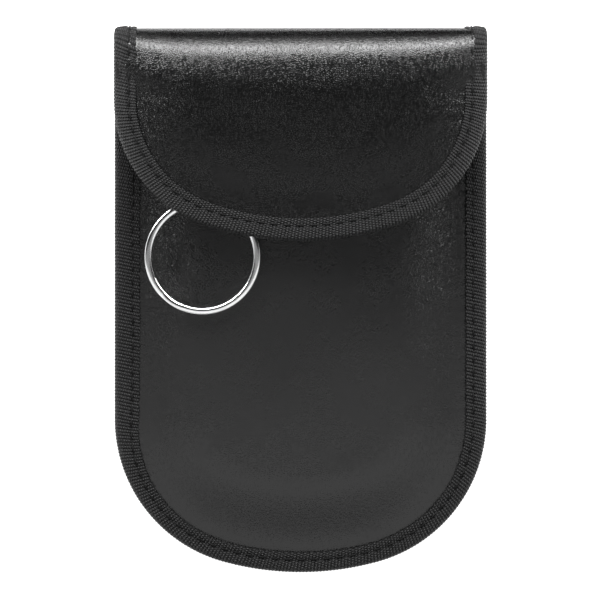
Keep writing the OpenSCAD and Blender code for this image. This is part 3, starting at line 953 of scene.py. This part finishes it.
PANEL_INSETS = [0.6, 1.6, 3.0, 4.4, 5.4, 6.0, 6.6, 7.3, 8.1, 9.0, 10.2, 11.8, 13.8, 16.2, 19.0, 22.0, 25.0]
INNER_INSETS = [0.6, 3.0, 5.4, 6.6, 8.4, 11.0, 14.5, 18.5, 22.0, 25.0]
FINE_GRID = (PANEL_INSETS, 24, 1.1)
COARSE_GRID = (INNER_INSETS, 12, 3.0)
FACES = [0, CLOTH_T, 2 * CLOTH_T, 2 * CLOTH_T + FOAM_T, STACK_T]
BACK_HOLLOW, BACK_RIPPLE = 0.22, 0.12
FRONT_PRESS = 0.35
BACK_PUCKER, FRONT_PUCKER, FLAP_PUCKER = 0.1, 0.12, 0.1


def layer_between(name, path, edge, top_y, lower_face, upper_face, material, fine):
    """A layer between two faces, each a function from a place on the path to a point in space."""
    insets, middle, step = FINE_GRID if fine else COARSE_GRID
    lower, attributes = panel_grid(path, edge, top_y, insets, middle, step, lower_face)
    upper, _ = panel_grid(path, edge, top_y, insets, middle, step, upper_face)
    return slab(name, lower, upper, material, attributes)


def back_panel(name, number, material, fine):
    """One of the back's four layers, counted from the pocket, with its share of the fold."""

    def face(h):
        def at(kind, share, x, y, along):
            px, py, pz = on_back(kind, share, x, y, h)
            if h < STACK_T or kind in ON_FOLD:
                return px, py, pz
            d = BODY_EDGE.inset(x, y)
            hollow = smooth(d, TAPE_W - 1.2, TAPE_W + 1.5) * smooth(FOLD_LOW_Y - y, 0, 6)
            pressed = hollow * (BACK_HOLLOW + BACK_RIPPLE * ripple(x, y))
            return px, py, pz + pressed + BACK_PUCKER * pucker(along, d) * hollow
        return at

    lower_face, upper_face = face(FACES[number]), face(FACES[number + 1])
    return layer_between(name, BACK_PATH, BODY_EDGE, FOLD_LOW_Y, lower_face, upper_face, material, fine)


def front_panel(name, number, material, fine):
    """One of the front's four layers, counted from the pocket and held down along the seam outside."""

    def face(level):
        def at(kind, share, x, y, along):
            d = BODY_EDGE.inset(x, y)
            z = front_z(level, x, y)
            if level == OUTER_FACE:
                held = 1 - smooth(d, TAPE_W - 1.4, TAPE_W + 0.6)
                z = z - FRONT_PUCKER * pucker(along, d) - FRONT_PRESS * held
            return x, y, z
        return at

    lower_face, upper_face = face(number), face(number + 1)
    return layer_between(name, FRONT_PATH, BODY_EDGE, MOUTH_Y, lower_face, upper_face, material, fine)


FLAP_PRESS = 0.75
FLAP_SHOULDER = 0.55
FLAP_FALL = 1.75
FLAP_RIPPLE = 0.16
FLAP_EASE = 9


def flap_swell(kind, x, y):
    """How far the flap's outside stands off its plain thickness: pressed at the seam, full above it."""
    if kind == "strip":
        return 0 * x
    if kind == "arc":
        return FLAP_SHOULDER * (1 - droop(x))
    d = FLAP_EDGE.inset(x, y)
    down = np.clip((FLAP_TOP_Y - y) / (FLAP_TOP_Y - FLAP_LOW_Y), 0, 1)
    away = smooth(FLAP_TOP_Y - y, 0, FLAP_EASE)
    pressed = (1 - smooth(d, TAPE_W - 1.0, TAPE_W + 13.0)) * away
    slope = FLAP_SHOULDER - (FLAP_SHOULDER + FLAP_FALL) * down**2
    swell = slope * (1 - droop(x)) * (1 - pressed)
    return swell - FLAP_PRESS * pressed + FLAP_RIPPLE * away * ripple(x, y)


def flap_panel(name, number, material, fine):
    """One of the flap's four layers, counted from its lining, with its share of the fold."""

    def face(h):
        def at(kind, share, x, y, along):
            swell = flap_swell(kind, x, y)
            if kind == "arc":
                swell = swell * smooth(share, 0.0, 0.8)
            lift = swell * smooth(h, FACES[2], STACK_T)
            if h == STACK_T and kind in ON_OUTLINE:
                away = smooth(FLAP_TOP_Y - y, 0, FLAP_EASE)
                lift = lift - FLAP_PUCKER * pucker(along, FLAP_EDGE.inset(x, y)) * away
            return on_flap(kind, share, x, y, h + lift)
        return at

    lower_face, upper_face = face(FACES[number]), face(FACES[number + 1])
    return layer_between(name, FLAP_PATH, FLAP_EDGE, FLAP_SIDE_Y, lower_face, upper_face, material, fine)


# Binding tape

RIB_ROWS = 4
STITCH_BACK = 1.75
BODY_TAPE_LEFT, BODY_TAPE_LOW, BODY_TAPE_RIGHT = 6.3, 4.95, 5.1
TAPE_WAVER = 0.12
TAPE_STAND = 0.3
GROOVE_DEPTH, GROOVE_W = 0.38, 0.5


def body_tape_w(x, y):
    """The width of the body's tape on the front: wider at the left, narrow at the bottom."""
    low = smooth(-y, 20, 55)
    side = BODY_TAPE_LEFT if x < 0 else BODY_TAPE_RIGHT
    return float(side + (BODY_TAPE_LOW - side) * low + TAPE_WAVER * ripple(x * 2.1, y * 2.1))


def body_tape_station(t):
    """The body's tape at a distance t along it: where it is on the path, its side and its section."""
    kind, share, mirrored = locate(BACK_PATH, t)
    side = 1 if mirrored else -1
    x, y = BODY_EDGE.at(kind, share, FOLD_LOW_Y, 0) if kind in ON_OUTLINE else (-HALF_W, FOLD_Y)
    below = float(smooth(MOUTH_Y - y, -1.5, 1.5))
    grip = TAPE_T + (SEAM_T + TAPE_STAND - TAPE_T) * below
    radius = 0.9 + 0.6 * below
    bulge = 0.05 + 0.2 * below
    return kind, share, side, (-grip, STACK_T, body_tape_w(-side * x, y), TAPE_W, radius, bulge)


def flap_tape_station(t):
    """The flap's tape at a distance t along it, in the same terms."""
    kind, share, mirrored = locate(FLAP_PATH, t)
    side = 1 if mirrored else -1
    x, y = FLAP_EDGE.at(kind, share, FLAP_SIDE_Y, 0) if kind in ON_OUTLINE else (-HALF_W, FLAP_SIDE_Y)
    away = float(smooth(FLAP_SIDE_Y - y, 0, FLAP_EASE))
    out = STACK_T + TAPE_STAND - FLAP_PRESS * away
    width = TAPE_W + TAPE_WAVER * float(ripple(x * 2.3, y * 1.9))
    radius, bulge = 1.1, 0.22
    return kind, share, side, (-TAPE_T, out, TAPE_W, width, radius, bulge)


def station_points(kind, share, side, d, h, edge, top_y, on):
    """Points of a section at a station, on the left or the mirrored right."""
    if kind in ON_OUTLINE:
        x, y = edge.at(kind, share, top_y, d)
    else:
        x, y = -(HALF_W - d), d * 0
    points = np.stack([np.broadcast_to(v, d.shape) for v in on(kind, share, x, y, h)], -1).astype(float)
    points[:, 0] *= -side
    return points


def ribbed(name, rows, height, slant):
    """A tape through rows of points, each with distances along and across, and 1 where it faces out."""
    sections, along, across, outside = (np.array(part) for part in zip(*rows))
    measures = {"along": along, "across": across, "outside": outside}
    obj = capped_rings(name, sections, TAPE, measures, sharp=60)
    return make_mesh(obj, RIBS, TAPE, Rib_pitch=RIB_PITCH, Rib_height=height * MM, Slant=slant)


def tape_along(name, path, station, edge, top_y, on, slant):
    """A binding tape swept along a path and drawn in along its stitches."""
    total = girth(path)
    count = round(total / RIB_PITCH) * RIB_ROWS
    rows = []
    for n in range(count + 1):
        t = total * n / count
        kind, share, side, shape = station(t)
        d, h, across, outside = tape_section(*shape)
        for leg in (-1, 1):
            width = shape[3] if leg > 0 else shape[2]
            on_leg = (h > (shape[0] + shape[1]) / 2) == (leg > 0)
            groove = np.exp(-(((d - width + STITCH_BACK) / GROOVE_W) ** 2))
            h = h - leg * GROOVE_DEPTH * groove * on_leg * outside
        points = station_points(kind, share, side, d, h, edge, top_y, on)
        rows.append((points, np.full(d.shape, t), across, outside))
    return ribbed(name, rows, height=0.22, slant=slant)


# Stitch lines


def stitches(name, lines, seed):
    """Stitches along lines of (points, outward directions), in millimetres."""
    points, ups, edges = [], [], []
    for line, up in lines:
        first = len(points)
        points += [tuple(np.asarray(p) * MM) for p in line]
        ups += [tuple(u) for u in up]
        edges += [(first + i, first + i + 1) for i in range(len(line) - 1)]
    mesh = bpy.data.meshes.new(name)
    mesh.from_pydata(points, edges, [])
    made = mesh.attributes.new("up", "FLOAT_VECTOR", "POINT")
    made.data.foreach_set("vector", np.asarray(ups, np.float32).ravel())
    obj = place(bpy.data.objects.new(name, mesh))
    make_mesh(obj, STITCHES, THREAD, Seed=seed)
    obj.data.shade_smooth()
    return obj


LINE_STEP = 1.1


def tape_stitch_line(path, station, edge, top_y, on, leg, end):
    """The stitch line on one leg of a tape: leg 1 is the outer one and -1 the inner one."""
    line, up = [], []
    t_from, t_to = end, girth(path) - end
    for t in np.linspace(t_from, t_to, int((t_to - t_from) / LINE_STEP) + 2):
        kind, share, side, shape = station(float(t))
        width = shape[3] if leg > 0 else shape[2]
        d = np.array([width - STITCH_BACK] * 2)
        level = shape[1] if leg > 0 else shape[0]
        h = np.array([level - leg * 0.05, level + leg * 0.6])
        low, high = station_points(kind, share, side, d, h, edge, top_y, on)
        line.append(low)
        up.append((high - low) / np.linalg.norm(high - low))
    return line, up


# The walls

# Each layer's number from the pocket outwards, material, whether its mesh is fine, slot and CAD name
LAYERS = {
    "cloth_inner": (0, CLOTH, True, "shield_cloth", "shield_inner"),
    "cloth_outer": (1, CLOTH, False, "shield_cloth", "shield_outer"),
    "foam": (2, FOAM, False, "padding", "padding"),
    "leather_skin": (3, LEATHER, True, "leather", "leather"),
}


def wall(parts, panel, join, order):
    """Makes a wall's layers, and hands each to join in place of the same layer of the CAD parts."""
    made = {}
    for key in order:
        number, material, fine, _, _ = LAYERS[key]
        made[key] = panel(f"{parts[0]}_{key}", number, material, fine)
    for key in order:
        slot, node = LAYERS[key][3:]
        join(made[key], slot, *[f"{part}_{node}" for part in parts])
    return made


OUTWARDS = list(LAYERS)
back = wall(("back", "fold"), back_panel, sewn_to_back, OUTWARDS[::-1])
front = wall(("front",), front_panel, sewn_to_front, OUTWARDS)
flap = wall(("flap", "fold"), flap_panel, sewn_to_flap, OUTWARDS)

BODY_RUN = (BACK_PATH, body_tape_station, BODY_EDGE, FOLD_LOW_Y, on_back)
FLAP_RUN = (FLAP_PATH, flap_tape_station, FLAP_EDGE, FLAP_SIDE_Y, on_flap)
body_tape = tape_along("body_tape", *BODY_RUN, slant=0.22)
flap_tape = tape_along("flap_tape", *FLAP_RUN, slant=-0.16)
sewn_to_back(body_tape, "binding_tape", "body_binding", "fold_binding")
sewn_to_flap(flap_tape, "binding_tape", "flap_binding", "fold_binding")

# Where the stitch lines start and stop, from either end of their tape
THREAD_END = 1.0
INNER_BODY_END = BACK_STRIP + BACK_ARC * math.pi / 2 + FOLD_LOW_Y - MOUTH_Y + 3
INNER_FLAP_END = 8.0
body_thread = stitches("body_thread", [
    tape_stitch_line(*BODY_RUN, -1, INNER_BODY_END),
    tape_stitch_line(*BODY_RUN, 1, THREAD_END),
], seed=3)
flap_thread = stitches("flap_thread", [
    tape_stitch_line(*FLAP_RUN, 1, THREAD_END),
    tape_stitch_line(*FLAP_RUN, -1, INNER_FLAP_END),
], seed=5)
sewn_to_back(body_thread, "thread", "body_stitching")
sewn_to_flap(flap_thread, "thread", "flap_stitching")


MOUTH_TAPE_UP = 0.45


def mouth_tape():
    """The tape over the mouth's edge, which follows the front's crown."""
    reach = HALF_W - SEAM_W - 2.0
    count = round(2 * reach / RIB_PITCH) * RIB_ROWS
    rows = []
    for n in range(count + 1):
        x = -reach + 2 * reach * n / count
        low, high = (float(front_z(level, x, MOUTH_Y)) for level in (POCKET_FACE, OUTER_FACE))
        d, h, across, outside = tape_section(-TAPE_T, high - low + MOUTH_TAPE_UP, TAPE_W, TAPE_W, 1.0, 0.15)
        points = np.stack([np.full(d.shape, x), MOUTH_Y + TAPE_T - d, low + h], -1)
        rows.append((points, np.full(d.shape, x + reach), across, outside))
    return ribbed("mouth_tape", rows, height=0.2, slant=0.05)


def mouth_thread():
    """Stitches along both legs of the mouth's tape."""
    reach = HALF_W - SEAM_W - 4.0
    lines = []
    y = MOUTH_Y + TAPE_T - TAPE_W + STITCH_BACK
    for level, offset, up in ((OUTER_FACE, MOUTH_TAPE_UP, 1.0), (POCKET_FACE, -TAPE_T, -1.0)):
        xs = np.linspace(-reach, reach, 60)
        line = [(x, y, float(front_z(level, x, MOUTH_Y)) + offset) for x in xs]
        lines.append((line, [(0, 0, up)] * len(line)))
    return stitches("mouth_thread", lines, seed=11)


fixed_to("pouch", mouth_tape(), "binding_tape", "mouth_binding")
fixed_to("pouch", mouth_thread(), "thread", "mouth_stitching")


# Hook and loop patches

PATCH_EDGE = 2.2
PATCH_CORNER = 1.6
PATCH_SIDES = 32
BORDER_SLOPE = 0.4
BACKING_T = 0.8
STRAND_SINK = 0.05


def backing_face(low, high, flip):
    """Height of the backing's open face: the lower one on the flap's patch, which hangs."""
    return high[2] - BACKING_T if flip else low[2] + BACKING_T


def patch_backing(name, low, high, flip):
    """The woven backing: a thin plate with round corners and a swelled, sewn border."""
    z0, z1 = high[2] if flip else low[2], backing_face(low, high, flip)
    cx, cy = (low[0] + high[0]) / 2, (low[1] + high[1]) / 2
    half = np.array([high[0] - low[0], high[1] - low[1]]) / 2
    rings = []
    profile = (
        (0, z0), (0, z0 + (z1 - z0) * 0.7), (0.25, z1),
        (PATCH_EDGE, z1), (PATCH_EDGE + BORDER_SLOPE, z0 + (z1 - z0) * 0.85),
    )
    for inset, z in profile:
        r = max(0.3, PATCH_CORNER - inset)
        ring = []
        for n in range(PATCH_SIDES):
            angle = 2 * math.pi * (n + 0.5) / PATCH_SIDES
            sx, sy = math.copysign(1, math.cos(angle)), math.copysign(1, math.sin(angle))
            ring.append((
                cx + sx * (half[0] - inset - r) + r * math.cos(angle),
                cy + sy * (half[1] - inset - r) + r * math.sin(angle), z,
            ))
        rings.append(ring)
    return capped_rings(name, np.array(rings), PATCH_WEAVE)


LOOPS = {
    "material": LOOP_FLUFF, "spacing": 0.46, "curl": 0.0,
    "Height": 1.15, "Reach": 0.55, "Thickness": 0.1, "Wander": WANDER,
}
HOOKS = {
    "material": HOOK_NYLON, "spacing": 0.85, "curl": 0.55,
    "Height": 1.1, "Reach": 0.45, "Thickness": 0.16, "Wander": 0.0,
}


def patch_pile(name, low, high, flip, seed, material, spacing, curl, **sizes):
    """A field of loops or hooks on a patch, built upright and turned over for the flap."""
    z = backing_face(low, high, flip)
    xs = np.arange(low[0] + PATCH_EDGE + BORDER_SLOPE, high[0] - PATCH_EDGE - 0.3, spacing)
    ys = np.arange(low[1] + PATCH_EDGE + BORDER_SLOPE, high[1] - PATCH_EDGE - 0.3, spacing)
    points = [(x, -y if flip else y, 0) for y in ys for x in xs]
    mesh = bpy.data.meshes.new(name)
    mesh.from_pydata([tuple(np.array(p) * MM) for p in points], [], [])
    obj = place(bpy.data.objects.new(name, mesh))
    make_mesh(obj, PILE, material, Curl=curl, Seed=seed, **{key: size * MM for key, size in sizes.items()})
    if flip:
        obj.data.transform(Matrix.Rotation(math.pi, 4, "X"))
    obj.data.transform(Matrix.Translation((0, 0, (z + (STRAND_SINK if flip else -STRAND_SINK)) * MM)))
    obj.data.shade_smooth()
    return obj


def patch_thread(name, low, high, flip, seed):
    """Stitches round a patch's border."""
    z = backing_face(low, high, flip)
    inset = PATCH_EDGE / 2
    left, right, bottom, top = low[0] + inset, high[0] - inset, low[1] + inset, high[1] - inset
    up = (0, 0, -1.0 if flip else 1.0)
    ends = [(left, bottom), (right, bottom), (right, top), (left, top), (left, bottom)]
    lines = [([(*a, z), (*b, z)], [up, up]) for a, b in zip(ends, ends[1:])]
    return stitches(name, lines, seed)


def sew_patch(kind, body, low, high, flip, seed, strands):
    """A whole patch: its backing, its field of strands and the stitches that hold it."""
    patch = f"{kind}_patch"
    fixed_to(body, patch_backing(f"{patch}_backing", low, high, flip), "hook_and_loop", patch)
    fixed_to(body, patch_pile(f"{patch}_{kind}s", low, high, flip, seed, **strands), "hook_and_loop", patch)
    fixed_to(body, patch_thread(f"{patch}_thread", low, high, flip, seed + 2), "thread", f"{patch}_stitching")


sew_patch("loop", "pouch", LOOP_LOW, LOOP_HIGH, flip=False, seed=21, strands=LOOPS)
sew_patch("hook", "flap", HOOK_LOW, HOOK_HIGH, flip=True, seed=27, strands=HOOKS)


# Split ring and its ribbon tab

RING_BAND, RING_WIRE, RING_GAP = 1.7, 1.0, 0.45
RING_CENTRE = (RING_LOW[:2] + RING_HIGH[:2]) / 2
RING_R = (RING_HIGH[0] - RING_LOW[0]) / 2
TAB_ANGLE = 72.0
TAB_W = 8.0
RIBBON_T = 0.5
RING_CLEAR = 0.3
TAB_SEWN = 8
SLOPE_FROM, SLOPE_TO = -0.6, 3
SELVEDGE_W, SELVEDGE_SHARE = 0.4, 0.45
BOX_FROM, BOX_END, BOX_SIDE = 3.6, 0.7, 1.0


def key_ring():
    """The split ring, turned so that its climb lies across from the tab."""
    obj = place(bpy.data.objects.new("key_ring", bpy.data.meshes.new("key_ring")))
    make_mesh(
        obj, RING, STEEL, Mid_radius=(RING_R - RING_BAND / 2) * MM, Band=RING_BAND * MM, Wire=RING_WIRE * MM,
        Climb=(RING_WIRE + RING_GAP) * MM,
    )
    obj.data.transform(Matrix.Rotation(math.radians(TAB_ANGLE + 180), 4, "Z"))
    obj.data.transform(Matrix.Translation(Vector((*RING_CENTRE, RING_LOW[2])) * MM))
    obj.data.shade_smooth()
    return obj


def tab_centreline():
    """The ribbon's middle line in the ring's own directions: outwards and up from the front."""
    bend_r = (2 * RING_WIRE + RING_GAP + 2 * RING_CLEAR) / 2
    bend_y = math.sqrt((RING_R - RING_BAND) ** 2 - (TAB_W / 2) ** 2) - RING_CLEAR
    join_y = RING_R + RING_CLEAR + bend_r
    half_t = RIBBON_T / 2
    mid_z = RIBBON_T + bend_r
    end_y = join_y + TAB_SEWN
    line = [(y, half_t) for y in np.linspace(end_y, bend_y, 24)]
    arc_r = bend_r + half_t
    for angle in np.linspace(0, math.pi, 22)[1:]:
        line.append((bend_y - arc_r * math.sin(angle), mid_z - arc_r * math.cos(angle)))
    top_z, sewn_z = mid_z + arc_r, 3 * half_t
    line += [(y, top_z) for y in np.linspace(bend_y, join_y + SLOPE_FROM, 8)[1:]]
    for share in np.linspace(0, 1, 12)[1:]:
        y = join_y + SLOPE_FROM + (SLOPE_TO - SLOPE_FROM) * share
        line.append((y, top_z + (sewn_z - top_z) * smooth(share, 0, 1)))
    line += [(y, sewn_z) for y in np.linspace(join_y + SLOPE_TO, end_y, 12)[1:]]
    return np.array(line), end_y, join_y


def tab_point(out, side, up):
    """A point in the tab's own directions, turned to lie on the front."""
    angle = math.radians(TAB_ANGLE)
    x = RING_CENTRE[0] + out * math.cos(angle) + side * math.sin(angle)
    y = RING_CENTRE[1] + out * math.sin(angle) - side * math.cos(angle)
    return x, y, FRONT_Z + up


def ring_ribbon():
    """The ribbon round the ring, thinner at its selvedges."""
    line, _, _ = tab_centreline()
    steps = np.concatenate([[0], np.cumsum(np.hypot(*np.diff(line, axis=0).T))])
    fine = np.linspace(0, steps[-1], round(steps[-1] / RIB_PITCH) * RIB_ROWS + 1)
    outs, ups = np.interp(fine, steps, line[:, 0]), np.interp(fine, steps, line[:, 1])
    slopes = np.stack([np.gradient(outs, fine), np.gradient(ups, fine)], -1)
    slopes /= np.linalg.norm(slopes, axis=1)[:, None]
    count = 12
    half, thick = TAB_W / 2, RIBBON_T * 0.9 / 2
    widths = np.concatenate([np.linspace(-half, half, count), np.linspace(half, -half, count)])
    edge = np.clip((half - np.abs(widths)) / SELVEDGE_W, SELVEDGE_SHARE, 1)
    heights = np.concatenate([np.full(count, thick), np.full(count, -thick)]) * edge
    rows = []
    for t, out, up, slope in zip(fine, outs, ups, slopes):
        points = [tab_point(out - slope[1] * h, w, up + slope[0] * h) for w, h in zip(widths, heights)]
        rows.append((points, np.full(widths.shape, t), widths + half, np.ones(widths.shape)))
    return ribbed("ring_ribbon", rows, height=0.1, slant=0.0)


def ring_ribbon_thread():
    """A sewn box with a cross, which holds the ribbon's two ends down."""
    _, end_y, join_y = tab_centreline()
    near, far, side = join_y + BOX_FROM, end_y - BOX_END, TAB_W / 2 - BOX_SIDE
    up_z = 2 * RIBBON_T + 0.05
    ends = [(near, -side), (near, side), (far, side), (far, -side), (near, -side), (far, side)]
    pairs = list(zip(ends, ends[1:])) + [((near, side), (far, -side))]
    lines = [([tab_point(*a, up_z), tab_point(*b, up_z)], [(0, 0, 1)] * 2) for a, b in pairs]
    return stitches("ring_ribbon_thread", lines, seed=31)


fixed_to("ring", key_ring(), "polished_steel", "split_ring")
fixed_to("pouch", ring_ribbon(), "binding_tape", "ring_tab")
fixed_to("pouch", ring_ribbon_thread(), "thread", "ring_tab_stitching")


# Areas and flat sizes of the soft pieces, which nothing here uses


def outline_area(edge, top_y):
    """Area inside an outline below top_y, in square metres."""
    count = 400
    ys = np.linspace(edge.by - edge.big_r, top_y, count)
    xs = np.linspace(0, HALF_W, count)
    widths = [2 * HALF_W * float(np.mean(edge.inset(xs, np.full(count, y)) > 0)) for y in ys]
    return float(np.sum(widths) * (ys[1] - ys[0])) * MM * MM


FOLD_GIRTH = STACK_T + FOLD_LOW_R * math.pi / 2
BACK_LENGTH = FOLD_LOW_Y - LOW_Y + FOLD_GIRTH
FRONT_LENGTH = MOUTH_Y - LOW_Y
FLAP_LENGTH = FLAP_TOP_Y - FLAP_LOW_Y + FOLD_TOP_R * math.pi / 2 + STACK_T
SHEETS = [
    (back, BODY_EDGE, FOLD_LOW_Y, BACK_LENGTH, "folded"),
    (front, BODY_EDGE, MOUTH_Y, FRONT_LENGTH, "stretched"),
    (flap, FLAP_EDGE, FLAP_TOP_Y, FLAP_LENGTH, "folded"),
]
for pieces, edge, top_y, length, held in SHEETS:
    low_y = edge.by - edge.big_r
    area = outline_area(edge, top_y) + 2 * HALF_W * (length - (top_y - low_y)) * MM * MM
    for key in ("cloth_inner", "cloth_outer", "leather_skin"):
        flat = (2 * HALF_W * MM, length * MM)


# Floor and light, in metres

FLOOR_FLAT, FLOOR_R, FLOOR_WALL, FLOOR_BEND = 0.3, 1.6, 0.35, 0.3
FLOOR_SIDES = 64
FLOOR_BELOW = 0.0002
CARD_NEAR, CARD_FAR, CARD_HALF, CARD_UP = 0.0782, 0.25, 0.25, 0.0006
ROOM_LIGHT = 0.012


def studio_floor():
    """A pale round floor that curves up into a low wall."""
    bend_from = FLOOR_R - FLOOR_BEND
    profile = [(FLOOR_FLAT, 0.0), (bend_from, 0.0)]
    for angle in np.linspace(0, math.pi / 2, 10)[1:]:
        profile.append((bend_from + FLOOR_BEND * math.sin(angle), FLOOR_BEND - FLOOR_BEND * math.cos(angle)))
    profile.append((FLOOR_R, FLOOR_WALL))
    turns = [2 * math.pi * n / FLOOR_SIDES for n in range(FLOOR_SIDES)]
    points = [(0, 0, 0)] + [(r * math.cos(turn), r * math.sin(turn), z) for r, z in profile for turn in turns]
    faces = [[0, 1 + n, 1 + (n + 1) % FLOOR_SIDES] for n in range(FLOOR_SIDES)]
    faces += [face[::-1] for face in grid_faces(len(profile), FLOOR_SIDES, first=1, closed=True)]
    mesh = bpy.data.meshes.new("studio_floor")
    mesh.from_pydata([(x, y, z - FLOOR_BELOW) for x, y, z in points], [], faces)
    mesh.shade_smooth()
    finish = Finish("studio_floor", **{
        "Base Color": (0.5, 0.5, 0.5, 1), "Roughness": 0.9, "Specular IOR Level": 0.1,
        "Emission Color": (1, 1, 1, 1), "Emission Strength": 0.85,
    })
    mesh.materials.append(finish.material)
    place(bpy.data.objects.new("studio_floor", mesh))


def black_card():
    """A black card on the floor just above the picture, which the back of the fold mirrors."""
    mesh = bpy.data.meshes.new("black_card")
    near = [(-CARD_HALF, CARD_NEAR, CARD_UP), (CARD_HALF, CARD_NEAR, CARD_UP)]
    far = [(CARD_HALF, CARD_FAR, CARD_UP), (-CARD_HALF, CARD_FAR, CARD_UP)]
    mesh.from_pydata(near + far, [], [[0, 1, 2, 3]])
    finish = Finish("black_card", **{
        "Base Color": (0.002, 0.002, 0.002, 1), "Roughness": 1.0, "Specular IOR Level": 0.0,
    })
    mesh.materials.append(finish.material)
    place(bpy.data.objects.new("black_card", mesh))


def softbox(name, centre, aim, size, radiance):
    """A rectangular light at a place, aimed at a point, of the same radiance over all its face."""
    data = bpy.data.lights.new(name, "AREA")
    data.shape = "RECTANGLE"
    data.size, data.size_y = size
    data.energy = radiance * math.pi * size[0] * size[1]
    made = place(bpy.data.objects.new(name, data))
    made.location = centre
    made.rotation_euler = (Vector(aim) - Vector(centre)).to_track_quat("-Z", "Y").to_euler()
    made.visible_camera = False


studio_floor()
black_card()
softbox(
    "front_softbox", centre=(0.0, -0.164, 0.16), aim=(0.0, -0.164, 0.0), size=(0.9, 0.3), radiance=0.92,
)
softbox(
    "front_softbox_edge", centre=(0.0, -0.13, 0.165), aim=(0.0, -0.13, 0.0), size=(0.9, 0.31), radiance=0.3,
)
softbox(
    "back_softbox", centre=(0.0, 0.236, 0.142), aim=(0.0, 0.066, 0.018), size=(0.8, 0.09), radiance=20.5,
)

world = bpy.data.worlds.new("studio")
bpy.context.scene.world = world
world.use_nodes = True
world.node_tree.nodes["Background"].inputs[0].default_value = (ROOM_LIGHT, ROOM_LIGHT, ROOM_LIGHT, 1)
bpy.context.scene.view_settings.view_transform = "Standard"
